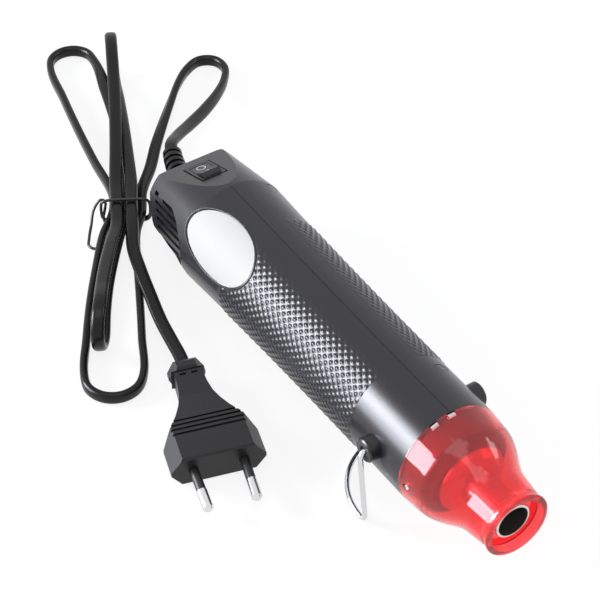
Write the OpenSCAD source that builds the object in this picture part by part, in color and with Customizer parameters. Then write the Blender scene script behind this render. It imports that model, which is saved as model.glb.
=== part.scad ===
/* [Body] */
// Length of the black body, from its tail end to the seam of the nozzle guard
body_len = 172; // [150:1:190]
// Outer radius of the body at the tail end
tail_r = 20.5; // [19.5:0.1:22]
// Outer radius of the body at its widest ring, behind the grip
shoulder_r = 23.8; // [23:0.1:25]
// Distance of that widest ring from the tail end
shoulder_x = 32; // [31:0.5:36]
// Outer radius of the body at the guard seam
front_r = 21; // [20:0.1:22]
// How fast the grip slims down in front of the widest ring
grip_curve = 2.2; // [1.6:0.1:3]
// Wall thickness of the two body shells
wall = 2.2; // [1.8:0.1:2.6]
// Radius of the rounded edge of the tail end
tail_round = 2; // [1:0.1:2.8]
// Tilt of the body where it stands on its tail and its wire stand, in degrees
tilt = 3.1; // [2:0.1:4.5]

/* [Switch facet] */
// Slope of the flat facet that carries the switch, in degrees
facet_slope = 17.5; // [14:0.5:20]
// Distance of the front edge of the facet from the tail end
facet_x = 30; // [28:0.5:31]
// Distance of the rocker's pivot from the tail end
switch_x = 12.8; // [12:0.2:14]
// Length of the rocker
rocker_l = 12; // [9.5:0.1:12.4]
// Width of the rocker
rocker_w = 7.8; // [7:0.1:10.6]
// Swing of the rocker between off and on, in degrees
rocker_swing = 20; // [12:1:22]
// Running gap round the rocker
rocker_gap = 0.25; // [0.2:0.05:0.4]
// Width of the switch frame round the rocker
switch_rim = 1.1; // [1:0.1:1.6]
// Depth of the shallow recess round the switch frame
switch_recess = 1; // [0.6:0.1:1.2]
// Depth of the switch housing below the facet
switch_depth = 9.5; // [8:0.5:11]

/* [Vents] */
// Half height of the recessed vent panel on each side
vent_half = 12.6; // [11:0.1:13]
// Distance from the tail end at which the panel's front edge begins to curve
vent_x = 15; // [12:0.5:16]
// Length of the curved front part of the panel
vent_nose = 17; // [12:0.5:17]
// Number of slots in each panel
vent_count = 6; // [4:2:6]
// Distance from one slot to the next
vent_pitch = 4.2; // [3.8:0.1:4.2]
// Width of a slot
vent_slot = 1.9; // [1.4:0.1:2.2]
// Distance of the first slot's end from the tail end
vent_start = 4.6; // [4:0.2:6]

/* [Label] */
// Length of the blank oval label
label_l = 40; // [30:1:42]
// Width of the blank oval label, measured flat
label_w = 24; // [16:1:25]
// Distance of the label's centre from the tail end
label_x = 51; // [50:0.5:56]
// Angle of the label's centre round the body from the top, in degrees
label_turn = 49; // [42:1:56]
// Depth of the recess that holds the label
label_depth = 0.6; // [0.4:0.1:0.9]
// Thickness of the label
label_t = 0.3; // [0.2:0.05:0.5]

/* [Nozzle] */
// Length of the transparent guard
guard_len = 38.7; // [34:0.5:44]
// Wall thickness of the guard
guard_t = 1.6; // [1.2:0.1:1.8]
// Length of the guard's straight rim, before its shoulder
guard_rim = 9.5; // [8:0.5:11]
// Outer radius of the guard at its slimmest place
guard_neck_r = 12.1; // [11.5:0.1:13]
// Outer radius of the guard's lip
guard_lip_r = 12.7; // [12.2:0.1:14]
// Depth of the guard's end wall behind the lip
mouth_depth = 3.4; // [2.5:0.1:4.5]
// Outer radius of the outlet end of the hot air tube
outlet_r = 6.6; // [6:0.1:7.2]
// Wall thickness of the hot air tube
tube_t = 0.6; // [0.5:0.1:0.8]
// Outer radius of the wide part of the hot air tube, round the heater
tube_r = 13.4; // [12.5:0.1:14]
// Distance of the wide end of the hot air tube from the tail end
tube_x = 108; // [106:1:114]
// Wall thickness of the black collar on the front flange
collar_t = 2.1; // [1.5:0.1:2.5]
// Length of the black collar
collar_l = 5.5; // [4:0.5:7]

/* [Drive] */
// Radius of the motor can
motor_r = 12.2; // [11:0.1:13]
// Length of the motor can
motor_l = 32; // [26:1:34]
// Distance of the rear of the motor can from the tail end
motor_x = 48; // [46:1:50]
// Radius of the motor shaft
shaft_r = 1; // [0.8:0.1:1.2]
// Radius over the tips of the fan blades
fan_r = 16.6; // [15:0.1:16.8]
// Width of the fan along its axis
fan_w = 10; // [8:0.5:11]
// Number of fan blades
fan_blades = 7; // [5:1:9]
// Running gap round the fan
fan_gap = 0.5; // [0.4:0.1:0.8]

/* [Stand] */
// Diameter of the steel wire of the stand
wire_d = 2; // [1.6:0.1:2.4]
// Distance of the stand's pivot behind the guard's seam
pivot_back = 15.5; // [13:0.5:18]
// Height of the pivot above the body's axis
pivot_up = 3; // [0:0.5:4]
// Gap between each boss and the leg of the stand beside it
leg_gap = 0.4; // [0.2:0.1:2]
// Forward lean of the legs from upright, in degrees
leg_lean = 8.3; // [5:0.1:10]
// Bending radius of the wire
wire_bend = 3; // [2.4:0.1:4]
// Radius of the boss that holds the wire
boss_r = 4.6; // [4:0.1:5.5]

/* [Cord and plug] */
// Width of the flat cord
cord_w = 5.2; // [4.8:0.1:5.6]
// Thickness of the flat cord
cord_t = 3.2; // [2.8:0.1:3.4]
// Length of the strain relief outside the body
relief_len = 25; // [20:1:30]
// Sideways bend of the strain relief, in degrees
relief_bend = 25; // [5:1:40]
// Radius of the strain relief where it leaves the body
relief_r = 4.9; // [4.2:0.1:5.5]
// Number of ribs on the strain relief
relief_ribs = 7; // [5:1:9]
// Width of the plug's front block
plug_w = 35; // [33:0.1:35.3]
// Height of the plug's front block
plug_h = 13.7; // [13:0.1:13.7]
// Length of the plug
plug_l = 49; // [45:1:56]
// Diameter of the metal pins
pin_d = 4; // [3.94:0.02:4.06]
// Length of the pins
pin_l = 19; // [18.5:0.1:19.5]
// Length of the insulating sleeve on each pin
sleeve_l = 10; // [8:0.5:10]
// Distance between the pins where they leave the plug
pin_pitch = 18.6; // [18:0.1:19.2]

/* [Hidden] */
EPS = 0.01;
FN = 96;
seat_gap = 0.1;

// Distance of the flat vent panels from the middle plane
vent_y = tail_r - 2;
wire_r = wire_d / 2;
mouth_x = body_len + guard_len;
// Half size of a cutting block that reaches past every edge of the body
reach = body_len / 2;
// Height of the switch facet above the body's axis
function facet_z(x) = body_r(facet_x) - (facet_x - x) * tan(facet_slope);
// Height of the body's axis at the tail end, with the widest ring resting on the floor
axis_h = shoulder_r * cos(tilt) - shoulder_x * sin(tilt);
// Half way between the tail end and the guard's lip, seen from above
origin_x = (mouth_x * cos(tilt) + (guard_lip_r - facet_z(0)) * sin(tilt)) / 2;
guard_rim_slope = 0.09;
guard_neck_slope = 0.12;
guard_shoulder = 17.5;
flange_x = body_len - 6;
flange_front = body_len + guard_rim + 0.5;
fan_x = motor_x + motor_l + 4;
shroud_x = fan_x - 2;
outlet_x = mouth_x - mouth_depth + 0.8;
pivot_x = body_len - pivot_back;
post_r = 2.7;
screw_r = 1.1;
screw_deep = 8;
head_r = 1.9;
head_h = 1.6;
head_y = 6;
drive_w = 2.4;
rear_screw = [shoulder_x + 3, shoulder_r - wall - post_r - 1.9];
front_screw = [body_len - 22, tube_r + post_r + 0.5];
screw_spots = [for (at = [rear_screw, front_screw]) for (s = [1, -1]) [at.x, s * at.y]];

// Outer radius of the body at a distance from its tail end
function body_r(x) = x < shoulder_x
    ? tail_r + (shoulder_r - tail_r) * x / shoulder_x
    : front_r + (shoulder_r - front_r) * pow((body_len - x) / (body_len - shoulder_x), grip_curve);
function inner_r(x) = body_r(x) - wall;
function body_stations(from) = concat(
    [for (x = [max(from, tail_round) : 6 : shoulder_x - 3]) x],
    [for (i = [0 : 10]) shoulder_x + (body_len - shoulder_x) * i / 10]);
// Outer radius of the guard at a distance in front of its seam
function ease(u) = u <= 0 ? 0 : u >= 1 ? 1 : u * u * (3 - 2 * u);
function guard_r(x) =
    let(rim = front_r - guard_rim_slope * x,
        neck = guard_neck_r + guard_neck_slope * (guard_len - 2 - x))
    neck + (rim - neck) * (1 - ease((x - guard_rim + 1) / guard_shoulder));
// Points given on the facet, and points given along the body's axis
function facet_point(u, v, w) = [
    switch_x + u * cos(facet_slope) - w * sin(facet_slope), v,
    facet_z(switch_x) + u * sin(facet_slope) + w * cos(facet_slope)];
function tool_point(p) = [
    p.x * cos(tilt) - p.z * sin(tilt) - origin_x, p.y,
    axis_h + p.x * sin(tilt) + p.z * cos(tilt)];

module on_tool() translate([-origin_x, 0, axis_h]) rotate([0, -tilt, 0]) children();
module on_facet() translate(facet_point(0, 0, 0)) rotate([0, -facet_slope, 0]) children();
// A turned solid about the body's axis, from points of [radius, distance from the tail end]
module turned(points) rotate([0, 90, 0]) rotate_extrude($fn = FN) polygon(points);
module rod(x, l, r) translate([x, 0, 0]) rotate([0, 90, 0]) cylinder(r = r, h = l, $fn = FN);
module tube(x, l, r, hole) difference() {
    rod(x, l, r);
    rod(x - 1, l + 2, hole);
}
// A wire through a list of points, with each corner rounded by three points
function rounded(points, r) = concat(
    [points[0]],
    [for (i = [1 : 1 : len(points) - 2])
        let(p = points[i], a = p + r * unit(points[i - 1] - p), b = p + r * unit(points[i + 1] - p))
        each [a, (a + 2 * p + b) / 4, b]],
    [points[len(points) - 1]]);
module wire(points, r) {
    path = rounded(points, 2 * r);
    tube_along(path, [for (p = path) [0.5, 0.6, 0.62]], 2 * r, 2 * r, 6);
}

// The body's round form, drawn in by a depth
module body_form(inset = 0) turned(concat(
    [[0, 0]],
    [for (a = [-90 : 30 : 0]) [
        body_r(tail_round) - tail_round - inset + tail_round * cos(a),
        tail_round + tail_round * sin(a)]],
    [for (x = body_stations(tail_round + 1)) [body_r(x) - inset, x]],
    [[0, body_len]]));
// All that lies above the switch facet, lowered by a depth
module above_facet(depth = 0)
    translate([facet_x, 0, body_r(facet_x)]) rotate([0, -facet_slope, 0])
        translate([-reach, -reach, -depth]) cube([2 * reach, 2 * reach, reach]);
// The side outline of a vent panel, grown by a margin
module vent_outline(grow = 0) polygon(concat(
    [[-1, -vent_half - grow]],
    [for (a = [-90 : 10 : 90]) [vent_x + (vent_nose + grow) * cos(a), (vent_half + grow) * sin(a)]],
    [[-1, vent_half + grow]]));
module vent_recess(side)
    translate([0, side > 0 ? vent_y + 10 : -vent_y, 0]) rotate([90, 0, 0])
        linear_extrude(10) vent_outline();
module vent_slots(side) for (i = [0 : vent_count - 1]) {
    z = (i - (vent_count - 1) / 2) * vent_pitch;
    last = vent_x + 0.45 * vent_nose - 0.02 * abs(z) * abs(z);
    outer_row = i == vent_count - 1;
    translate([vent_start, side * vent_y - 5, z - vent_slot / 2])
        cube([outer_row ? 2.6 : last - vent_start, 10, vent_slot]);
    if (outer_row) translate([vent_start + 6.4, side * vent_y - 5, z - vent_slot / 2])
        cube([last - vent_start - 6.4, 10, vent_slot]);
}
module hollow() difference() {
    turned(concat(
        [[0, wall], [inner_r(wall), wall]],
        [for (x = body_stations(wall + 1)) [inner_r(x), x]],
        [[inner_r(body_len), body_len + 1], [0, body_len + 1]]));
    above_facet(wall + switch_recess);
    for (side = [-1, 1]) translate([-1, side * (vent_y - wall) - (side < 0 ? 20 : 0), -30])
        cube([vent_x + vent_nose + 1, 20, 60]);
}
// The oval of the label, as a straight-sided block standing out of the body
module label_block(shrink = 0) rotate([label_turn, 0, 0]) translate([label_x, 0, 8])
    linear_extrude(30) polygon([for (a = [0 : 10 : 350]) [
        (label_l / 2 - shrink) * cos(a), (label_w / 2 - shrink) * sin(a)]]);
module screw_post(spot, side) {
    translate([spot.x, 0, spot.y]) rotate([side > 0 ? -90 : 90, 0, 0])
        cylinder(r = post_r, h = sqrt(pow(inner_r(spot.x) + 1, 2) - pow(abs(spot.y) - 1, 2)), $fn = 48);
}
// One half of the body, before its own holes
module shell(side) intersection() {
    translate([-reach, side > 0 ? 0 : -reach, -reach]) cube([body_len + 2 * reach, reach, 2 * reach]);
    union() {
        difference() {
            body_form();
            hollow();
            above_facet();
            vent_recess(side);
            vent_slots(side);
            on_facet() translate([-switch_l / 2 - switch_margin, -switch_w / 2 - switch_margin, -switch_recess])
                cube([switch_l + 2 * switch_margin, switch_w + 2 * switch_margin, 5]);
            on_facet() translate([-rocker_l / 2 - switch_skin, -rocker_w / 2 - switch_skin, -8])
                cube([rocker_l + 2 * switch_skin, rocker_w + 2 * switch_skin, 12]);
            rod(-1, wall + 2, relief_neck_r + seat_gap);
            translate([pivot_x, 0, pivot_up]) rotate([90, 0, 0])
                cylinder(r = bush_neck_r + seat_gap, h = 80, center = true, $fn = 48);
        }
        intersection() {
            body_form(wall / 2);
            for (spot = screw_spots) screw_post(spot, side);
        }
    }
}
switch_l = rocker_l + 2 * switch_rim + 2 * rocker_gap;
switch_w = rocker_w + 2 * switch_rim + 2 * rocker_gap;
switch_margin = 0.6;
switch_skin = rocker_gap + 0.9;
relief_neck_r = 3.9;
bush_neck_r = 3.1;

// Camera-side half: it holds the screws' threads, the label and the flex clamp's seat
module case_right() color([0.2, 0.2, 0.22]) on_tool() difference() {
    union() {
        shell(-1);
        translate([clamp_x, -vent_y + wall / 2, -clamp_h / 2])
            cube([clamp_l, vent_y - wall / 2 - cord_t / 2 - seat_gap, clamp_h]);
    }
    difference() {
        label_block();
        body_form(label_depth);
    }
    for (spot = screw_spots) translate([spot.x, EPS, spot.y]) rotate([90, 0, 0])
        cylinder(r = screw_r + seat_gap, h = screw_deep + 1, $fn = 36);
}
clamp_x = 8;
clamp_l = 4;
clamp_h = 13;

module case_left() color([0.2, 0.2, 0.22]) on_tool() difference() {
    shell(1);
    for (spot = screw_spots) translate([spot.x, -EPS, spot.y]) rotate([-90, 0, 0]) {
        cylinder(r = screw_r + seat_gap, h = head_y + 1, $fn = 36);
        translate([0, 0, head_y]) cylinder(r = head_r + seat_gap, h = reach, $fn = 36);
    }
}
module case_screws() color([0.6, 0.6, 0.62]) on_tool()
    for (spot = screw_spots) translate([spot.x, 0, spot.y]) rotate([-90, 0, 0]) difference() {
        union() {
            translate([0, 0, -screw_deep]) cylinder(r = screw_r, h = screw_deep + head_y + seat_gap + EPS, $fn = 36);
            translate([0, 0, head_y + seat_gap]) cylinder(r = head_r, h = head_h, $fn = 36);
        }
        for (turn = [0, 90]) rotate([0, 0, turn])
            translate([-drive_w / 2, -0.3, head_y + head_h / 2]) cube([drive_w, 0.6, head_h]);
    }
module label_plate() color([0.96, 0.96, 0.95]) on_tool() difference() {
    intersection() {
        label_block(0.35);
        body_form(label_depth - label_t - seat_gap / 2);
    }
    body_form(label_depth - seat_gap / 2);
}

// Switch: a frame that clips into the facet, with a rocker on two stub pins
rocker_drop = 1.4;
rocker_top = 1.2;
rocker_pin_r = 0.9;
module switch_frame() color([0.16, 0.16, 0.18]) on_tool() on_facet() difference() {
    union() {
        translate([-switch_l / 2, -switch_w / 2, -switch_recess + seat_gap / 2])
            cube([switch_l, switch_w, switch_recess + 0.1]);
        translate([-rocker_l / 2 - switch_skin + seat_gap, -rocker_w / 2 - switch_skin + seat_gap, -switch_depth])
            cube([rocker_l + 2 * (switch_skin - seat_gap), rocker_w + 2 * (switch_skin - seat_gap), switch_depth]);
    }
    translate([-rocker_l / 2 - rocker_gap, -rocker_w / 2 - rocker_gap, -switch_depth + 2.4])
        cube([rocker_l + 2 * rocker_gap, rocker_w + 2 * rocker_gap, switch_depth + 2]);
    translate([0, 0, -rocker_drop]) rotate([90, 0, 0])
        cylinder(r = rocker_pin_r + 0.1, h = rocker_w + 2 * rocker_gap + 1.2, center = true, $fn = 36);
    for (u = terminal_u) translate([u - terminal_w / 2 - seat_gap, -0.5, -switch_depth - 1])
        cube([terminal_w + 2 * seat_gap, 1, 2.6]);
}
terminal_u = [-rocker_l / 2 + 3, rocker_l / 2 - 3];
terminal_l = 3.4;
terminal_w = 4.8;
// The rocker is drawn level, then rests with its tail end pressed in
module switch_rocker() color([0.14, 0.14, 0.17]) on_tool() on_facet()
    translate([0, 0, -rocker_drop]) rotate([0, -rocker_swing / 2, 0]) {
        rotate([90, 0, 0]) linear_extrude(rocker_w, center = true) intersection() {
            circle(r = rocker_l / 2, $fn = 72);
            polygon([
                [-rocker_l, rocker_drop + rocker_top + (rocker_l / 2) * tan(rocker_swing / 2)],
                [-rocker_l / 2 - 0.1, rocker_drop + rocker_top],
                [0, rocker_drop + rocker_top - (rocker_l / 2) * tan(rocker_swing / 2)],
                [rocker_l / 2 + 0.1, rocker_drop + rocker_top],
                [rocker_l, rocker_drop + rocker_top + (rocker_l / 2) * tan(rocker_swing / 2)],
                [rocker_l / 2, -0.6], [1.6, -2.4], [-1.6, -2.4], [-rocker_l / 2, -0.6]]);
        }
        rotate([90, 0, 0]) cylinder(r = rocker_pin_r, h = rocker_w + 2 * rocker_gap + 0.8, center = true, $fn = 36);
    }
module switch_terminals() color([0.8, 0.7, 0.4]) on_tool() on_facet()
    for (u = terminal_u) translate([u - terminal_w / 2, -0.4, -switch_depth - terminal_l]) difference() {
        cube([terminal_w, 0.8, terminal_l + 1.5]);
        translate([terminal_w / 2, 2, 1.8]) rotate([90, 0, 0]) cylinder(r = 0.7, h = 4, $fn = 24);
    }

// Strain relief: ribs on a core that bends to the side
relief_core_r = 3.4;
relief_turn = relief_len * 180 / (PI * relief_bend);
function relief_point(s) = [
    -relief_turn * sin(relief_bend * s), relief_turn * (1 - cos(relief_bend * s)), 0];
module along_relief(s) translate(relief_point(s)) rotate([0, 0, -relief_bend * s]) children();
module strain_relief() color([0.1, 0.1, 0.11]) on_tool() {
    rod(-EPS, wall + 2 * seat_gap, relief_neck_r);
    rod(wall + seat_gap, 1.8, relief_neck_r + 1.6);
    rod(-1.6, 1.6 - seat_gap, relief_r);
    translate([0, relief_turn, 0]) rotate([0, 0, -90 - relief_bend]) rotate_extrude(angle = relief_bend, $fn = 96)
        translate([relief_turn, 0]) circle(r = relief_core_r, $fn = 48);
    for (i = [1 : relief_ribs]) along_relief(i / relief_ribs - 0.3 / relief_ribs) rod(-0.9, 1.8,
        relief_r - (relief_r - relief_core_r - 0.5) * i / relief_ribs);
}
module cord_clamp() color([0.25, 0.25, 0.27]) on_tool() {
    translate([clamp_x, cord_t / 2 + seat_gap, -clamp_h / 2]) cube([clamp_l, 2.6, clamp_h]);
    for (s = [-1, 1]) translate([clamp_x + clamp_l / 2, -cord_t / 2 + EPS, s * (clamp_h / 2 - 2)]) rotate([-90, 0, 0])
        cylinder(r = 1.1, h = cord_t + 2.6 + 1.2, $fn = 36);
}
cable_end = clamp_x + clamp_l + 0.6;
core_r = 0.9;
module inner_cable() color([0.12, 0.12, 0.13]) on_tool() {
    for (s = [-1, 1]) translate([0, 0, s * (cord_w - cord_t) / 2])
        rod(wall + 1.8 + 2 * seat_gap, cable_end - wall - 1.8 - 2 * seat_gap, cord_t / 2 - 0.05);
    wire([[cable_end - 1, 0, 1], [cable_end + 1.5, 0, 1.2],
        facet_point(terminal_u[1], 0, -switch_depth - terminal_l - core_r - 0.1)], core_r);
    wire([[cable_end - 1, 0, -1], [cable_end + 3, 0, -2], [board_x - 5, 0, -7],
        [board_x - 0.15, 0, -7]], core_r);
}

// Drive: rectifier board, motor, fan and the ducts round them
board_x = motor_x - 7;
board_t = 1.6;
board_edge = motor_r - 2.4;
diode_l = 2.8;
cap_l = 4;
module rectifier_board() color([0.1, 0.35, 0.2]) on_tool() {
    intersection() {
        rod(board_x, board_t, motor_r);
        translate([board_x - 1, -motor_r, -board_edge]) cube([board_t + 2, 2 * motor_r, 2 * board_edge]);
    }
    for (y = [-6, -2, 2, 6]) translate([board_x - diode_l, y - 1.2, 0]) cube([diode_l + 0.1, 2.4, 5]);
    for (y = [-5, 5]) translate([0, y, 0]) rod(board_x + board_t - 0.1, cap_l + motor_x - board_x - board_t - 2 * cap_l + 0.05, 0.8);
}
module motor_end_cap() color([0.85, 0.85, 0.82]) on_tool() difference() {
    union() {
        rod(motor_x - cap_l, cap_l, motor_r);
        rod(motor_x - cap_l - 1, 2, 3.2);
    }
    rod(motor_x - cap_l + 1, cap_l, shaft_r + 0.15);
}
module motor_can() color([0.7, 0.7, 0.72]) on_tool() difference() {
    union() {
        rod(motor_x + EPS, motor_l - EPS, motor_r);
        rod(motor_x, motor_l + 1.5, 3.2);
    }
    rod(motor_x - 1, motor_l + 4, shaft_r + 0.15);
}
mount_w = 12;
mount_x = motor_x + motor_l - mount_w - 4;
module motor_mount() color([0.15, 0.15, 0.16]) on_tool() difference() {
    union() {
        rod(mount_x, mount_w, motor_r + 2);
        for (turn = [0, 120, 240]) rotate([turn, 0, 0]) translate([mount_x + 0.6, -1.2, motor_r + 0.6])
            cube([mount_w - 1.2, 2.4, inner_r(mount_x + mount_w) - seat_gap - motor_r - 0.6]);
    }
    rod(mount_x - 1, mount_w + 2, motor_r + seat_gap / 2);
}
module motor_shaft() color([0.78, 0.78, 0.8]) on_tool()
    rod(motor_x - cap_l + 1.5, fan_x + fan_w + 1.5 - motor_x + cap_l - 1.5, shaft_r);
fan_hub_r = 5;
module fan_impeller() color([0.9, 0.9, 0.88]) on_tool() difference() {
    union() {
        rod(fan_x, fan_w, fan_hub_r);
        for (i = [1 : fan_blades]) rotate([i * 360 / fan_blades, 0, 0]) fan_blade();
    }
    rod(fan_x - 1, fan_w + 2, shaft_r + 0.02);
}
// One cambered blade: an arc-shaped strip from inside the hub to the tips
module fan_blade() {
    blade_w = fan_w - 1;
    intersection() {
        rod(fan_x - 1, fan_w + 2, fan_r);
        translate([fan_x + 0.5, 0, fan_hub_r - 1.6]) linear_extrude(fan_r) polygon(concat(
            [for (i = [0 : 5]) [i * blade_w / 5, 5.5 * sin(i * 12) - 2.6]],
            [for (i = [5 : -1 : 0]) [i * blade_w / 5, 5.5 * sin(i * 12) - 1.6]]));
    }
}
module fan_shroud() color([0.3, 0.3, 0.32]) on_tool() difference() {
    turned([[fan_r + fan_gap, shroud_x], [inner_r(shroud_x) - seat_gap, shroud_x],
        [inner_r(fan_x + fan_w + 3) - seat_gap, fan_x + fan_w + 3],
        [tube_r + 2.2, tube_x - 1], [tube_r + 2.2, tube_x + 5], [tube_r + seat_gap, tube_x + 5],
        [tube_r + seat_gap, tube_x], [tube_r - tube_t, tube_x - seat_gap],
        [fan_r + fan_gap, fan_x + fan_w + 1.5]]);
    for (y = lead_y) translate([shroud_x - 5, y, -lead_z]) rod(0, tube_x - shroud_x + 15, lead_r + 0.3);
}

// Heater: a steel tube lined with mica, with the coil wound on a mica cross
tube_neck_x = body_len + 18;
heater_x = tube_x + 14;
lead_r = 0.8;
lead_y = [-3, 3];
lead_z = 17.6;
coil_r = 9.6;
coil_wire_r = 0.45;
coil_turns = 9;
coil_end = body_len - 4;
liner_r = tube_r - tube_t - 0.1;
module heater_tube() color([0.75, 0.75, 0.77]) on_tool() difference() {
    turned(concat(
        [[tube_r - tube_t, tube_x], [tube_r, tube_x]],
        [for (a = [0 : 15 : 90]) [outlet_r + (tube_r - outlet_r) * cos(a), tube_neck_x - 6 + 6 * sin(a)]],
        [[outlet_r, tube_neck_x + 0.5], [outlet_r, outlet_x - 0.8]],
        [for (a = [-90 : 30 : 90]) [outlet_r + 0.4 * cos(a), outlet_x - 0.4 + 0.4 * sin(a)]],
        [[outlet_r - tube_t, outlet_x], [outlet_r - tube_t, tube_neck_x + 0.2]],
        [for (a = [90 : -15 : 0]) [outlet_r - tube_t + (tube_r - outlet_r) * cos(a), tube_neck_x - 6 + (6 - tube_t) * sin(a)]]));
    for (y = lead_y) translate([tube_x + 9, y, -tube_r - 2]) cylinder(r = lead_r + 0.3, h = 6, $fn = 24);
}
module mica_liner() color([0.8, 0.75, 0.6]) on_tool() difference() {
    tube(tube_x + 1, tube_neck_x - 7 - tube_x - 1, liner_r, liner_r - 0.4);
    for (y = lead_y) translate([tube_x + 9, y, -tube_r - 2]) cylinder(r = lead_r + 0.3, h = 6, $fn = 24);
}
// Two crossing plates, wide where they rest in the liner and narrow under the coil
module mica_plate() translate([0, 0.3, 0]) rotate([90, 0, 0]) linear_extrude(0.6) polygon(let(
    wide = liner_r - 0.4 - seat_gap, slim = coil_r - coil_wire_r - seat_gap,
    x = [tube_x + 2, heater_x - 2, coil_end + 2, coil_end + 6]) [
        [x[0], -wide], [x[1], -wide], [x[1], -slim], [x[2], -slim], [x[2], -wide], [x[3], -wide],
        [x[3], wide], [x[2], wide], [x[2], slim], [x[1], slim], [x[1], wide], [x[0], wide]]);
module mica_cross() color([0.85, 0.8, 0.66]) on_tool() {
    mica_plate();
    rotate([90, 0, 0]) mica_plate();
}
// A helix of resistance wire, swept as one tube
module heating_coil() color([0.62, 0.6, 0.58]) on_tool() tube_along(
    [for (i = [0 : coil_turns * 16]) [
        heater_x + (coil_end - heater_x) * i / (coil_turns * 16),
        coil_r * cos(i * 22.5), coil_r * sin(i * 22.5)]],
    [for (i = [0 : coil_turns * 16]) [1, 0, 0]],
    2 * coil_wire_r, 2 * coil_wire_r, 5);
module thermostat() color([0.75, 0.72, 0.6]) on_tool()
    translate([tube_x + 6.5, 5, 0.3 + seat_gap]) {
        cylinder(r = 3.2, h = 2.4, $fn = 48);
        translate([-1, -3.2, 0]) cube([2, 6.4, 0.8]);
    }
module thermal_fuse() color([0.7, 0.7, 0.72]) on_tool()
    translate([0, -5, 0.3 + seat_gap + 1.3]) {
        rod(tube_x + 3, 8, 1.3);
        rod(tube_x + 2, 10, 0.4);
    }
module heater_leads() color([0.7, 0.15, 0.12]) on_tool() {
    for (y = lead_y) wire([[board_x + board_t / 2, y, -board_edge - seat_gap], [board_x + board_t / 2, y, -lead_z],
        [tube_x + 9, y, -lead_z], [tube_x + 9, y, -0.5 - lead_r]], lead_r);
    wire([facet_point(terminal_u[0], 0, -switch_depth - terminal_l - core_r - 0.1), [12, 8, -3],
        [22, 10, -4], [board_x - 5, 5, -4], [board_x - 0.15, 5, -4]], lead_r);
}

// Nozzle: a black flange that closes the body, and the transparent guard
module front_flange() color([0.13, 0.13, 0.14]) on_tool() turned([
    [tube_r + seat_gap, flange_x], [inner_r(flange_x) - seat_gap, flange_x],
    [front_r - wall - seat_gap, body_len + 0.3],
    [guard_r(1) - guard_t - seat_gap, body_len + 1],
    [guard_r(flange_front - body_len) - guard_t - seat_gap, flange_front - 0.8],
    [guard_r(flange_front - body_len) - guard_t - 1, flange_front],
    [tube_r + seat_gap + collar_t, flange_front], [tube_r + seat_gap + collar_t - 0.8, flange_front + collar_l - 3],
    [tube_r + seat_gap, flange_front + collar_l - 3]]);
module nozzle_guard() color([0.95, 0.2, 0.25, 0.6]) on_tool() difference() {
    turned(concat(
        [for (x = guard_stations) [guard_r(x), body_len + x]],
        [for (a = [-60 : 30 : 90]) [
            guard_lip_r - 0.9 + 0.9 * cos(a), mouth_x - 0.9 + 0.9 * sin(a)]],
        [[guard_lip_r - 2, mouth_x], [guard_r(guard_len - mouth_depth) - guard_t, mouth_x - mouth_depth],
            [outlet_r + 0.6, mouth_x - mouth_depth],
            [outlet_r + 0.6, mouth_x - mouth_depth - guard_t],
            [guard_r(guard_len - mouth_depth - guard_t) - guard_t, mouth_x - mouth_depth - guard_t]],
        [for (i = [len(guard_stations) - 3 : -1 : 0])
            [guard_r(guard_stations[i]) - guard_t, body_len + guard_stations[i]]]));
    for (turn = [0, 20, 180, 200]) rotate([turn, 0, 0]) translate([body_len - 1, -window_w / 2, 15])
        cube([3.2, window_w, 10]);
    for (side = [-1, 1]) rotate([side * 89, 0, 0]) translate([body_len + 4.4, 0, 10]) {
        cylinder(r = 1.3, h = 15, $fn = 36);
        translate([-1.3, 0, 0]) cylinder(r = 0.7, h = 15, $fn = 36);
        translate([-1.3, -0.7, 0]) cube([1.3, 1.4, 15]);
    }
}
guard_stations = concat([EPS, 4, guard_rim - 1], [for (i = [1 : 9]) guard_rim - 1 + guard_shoulder * i / 10],
    [guard_rim - 1 + guard_shoulder, guard_len - mouth_depth - guard_t - 0.2, guard_len - 2.6]);
window_w = 3.4;

// Stand: two bushes in the body and one bent wire, drawn as it stands
boss_y = shoulder_r + 0.8;
leg_y = boss_y + wire_r + leg_gap;
bush_in = inner_r(pivot_x) - 1.6;
module stand_boss(side) on_tool() translate([pivot_x, 0, pivot_up]) rotate([side > 0 ? -90 : 90, 0, 0]) difference() {
    union() {
        translate([0, 0, bush_in]) cylinder(r = bush_neck_r, h = boss_y - bush_in - 1, $fn = 48);
        difference() {
            translate([0, 0, bush_in + 1]) cylinder(r = boss_r, h = boss_y - bush_in - 1.5, $fn = 64);
            rotate([side > 0 ? 90 : -90, 0, 0]) translate([-pivot_x, 0, -pivot_up]) body_form(-seat_gap / 2);
        }
        translate([0, 0, boss_y - 0.5 - EPS]) cylinder(r1 = boss_r, r2 = boss_r - 0.5, h = 0.5 + EPS, $fn = 64);
    }
    translate([0, 0, bush_in - 1]) cylinder(r = wire_r + 0.15, h = 20, $fn = 48);
    translate([0, 0, boss_y - 1.4]) cylinder(r1 = wire_r + 0.15, r2 = wire_r + 1.2, h = 1.5, $fn = 48);
}
module stand_boss_right() color([0.1, 0.1, 0.11]) stand_boss(-1);
module stand_boss_left() color([0.1, 0.1, 0.11]) stand_boss(1);

pivot_at = tool_point([pivot_x, 0, pivot_up]);
leg_drop = pivot_at.z - wire_r;
foot_at = pivot_at.x + leg_drop * tan(leg_lean);
foot_turn = 90 + leg_lean;
foot_bend = wire_bend * tan(foot_turn / 2);
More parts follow.
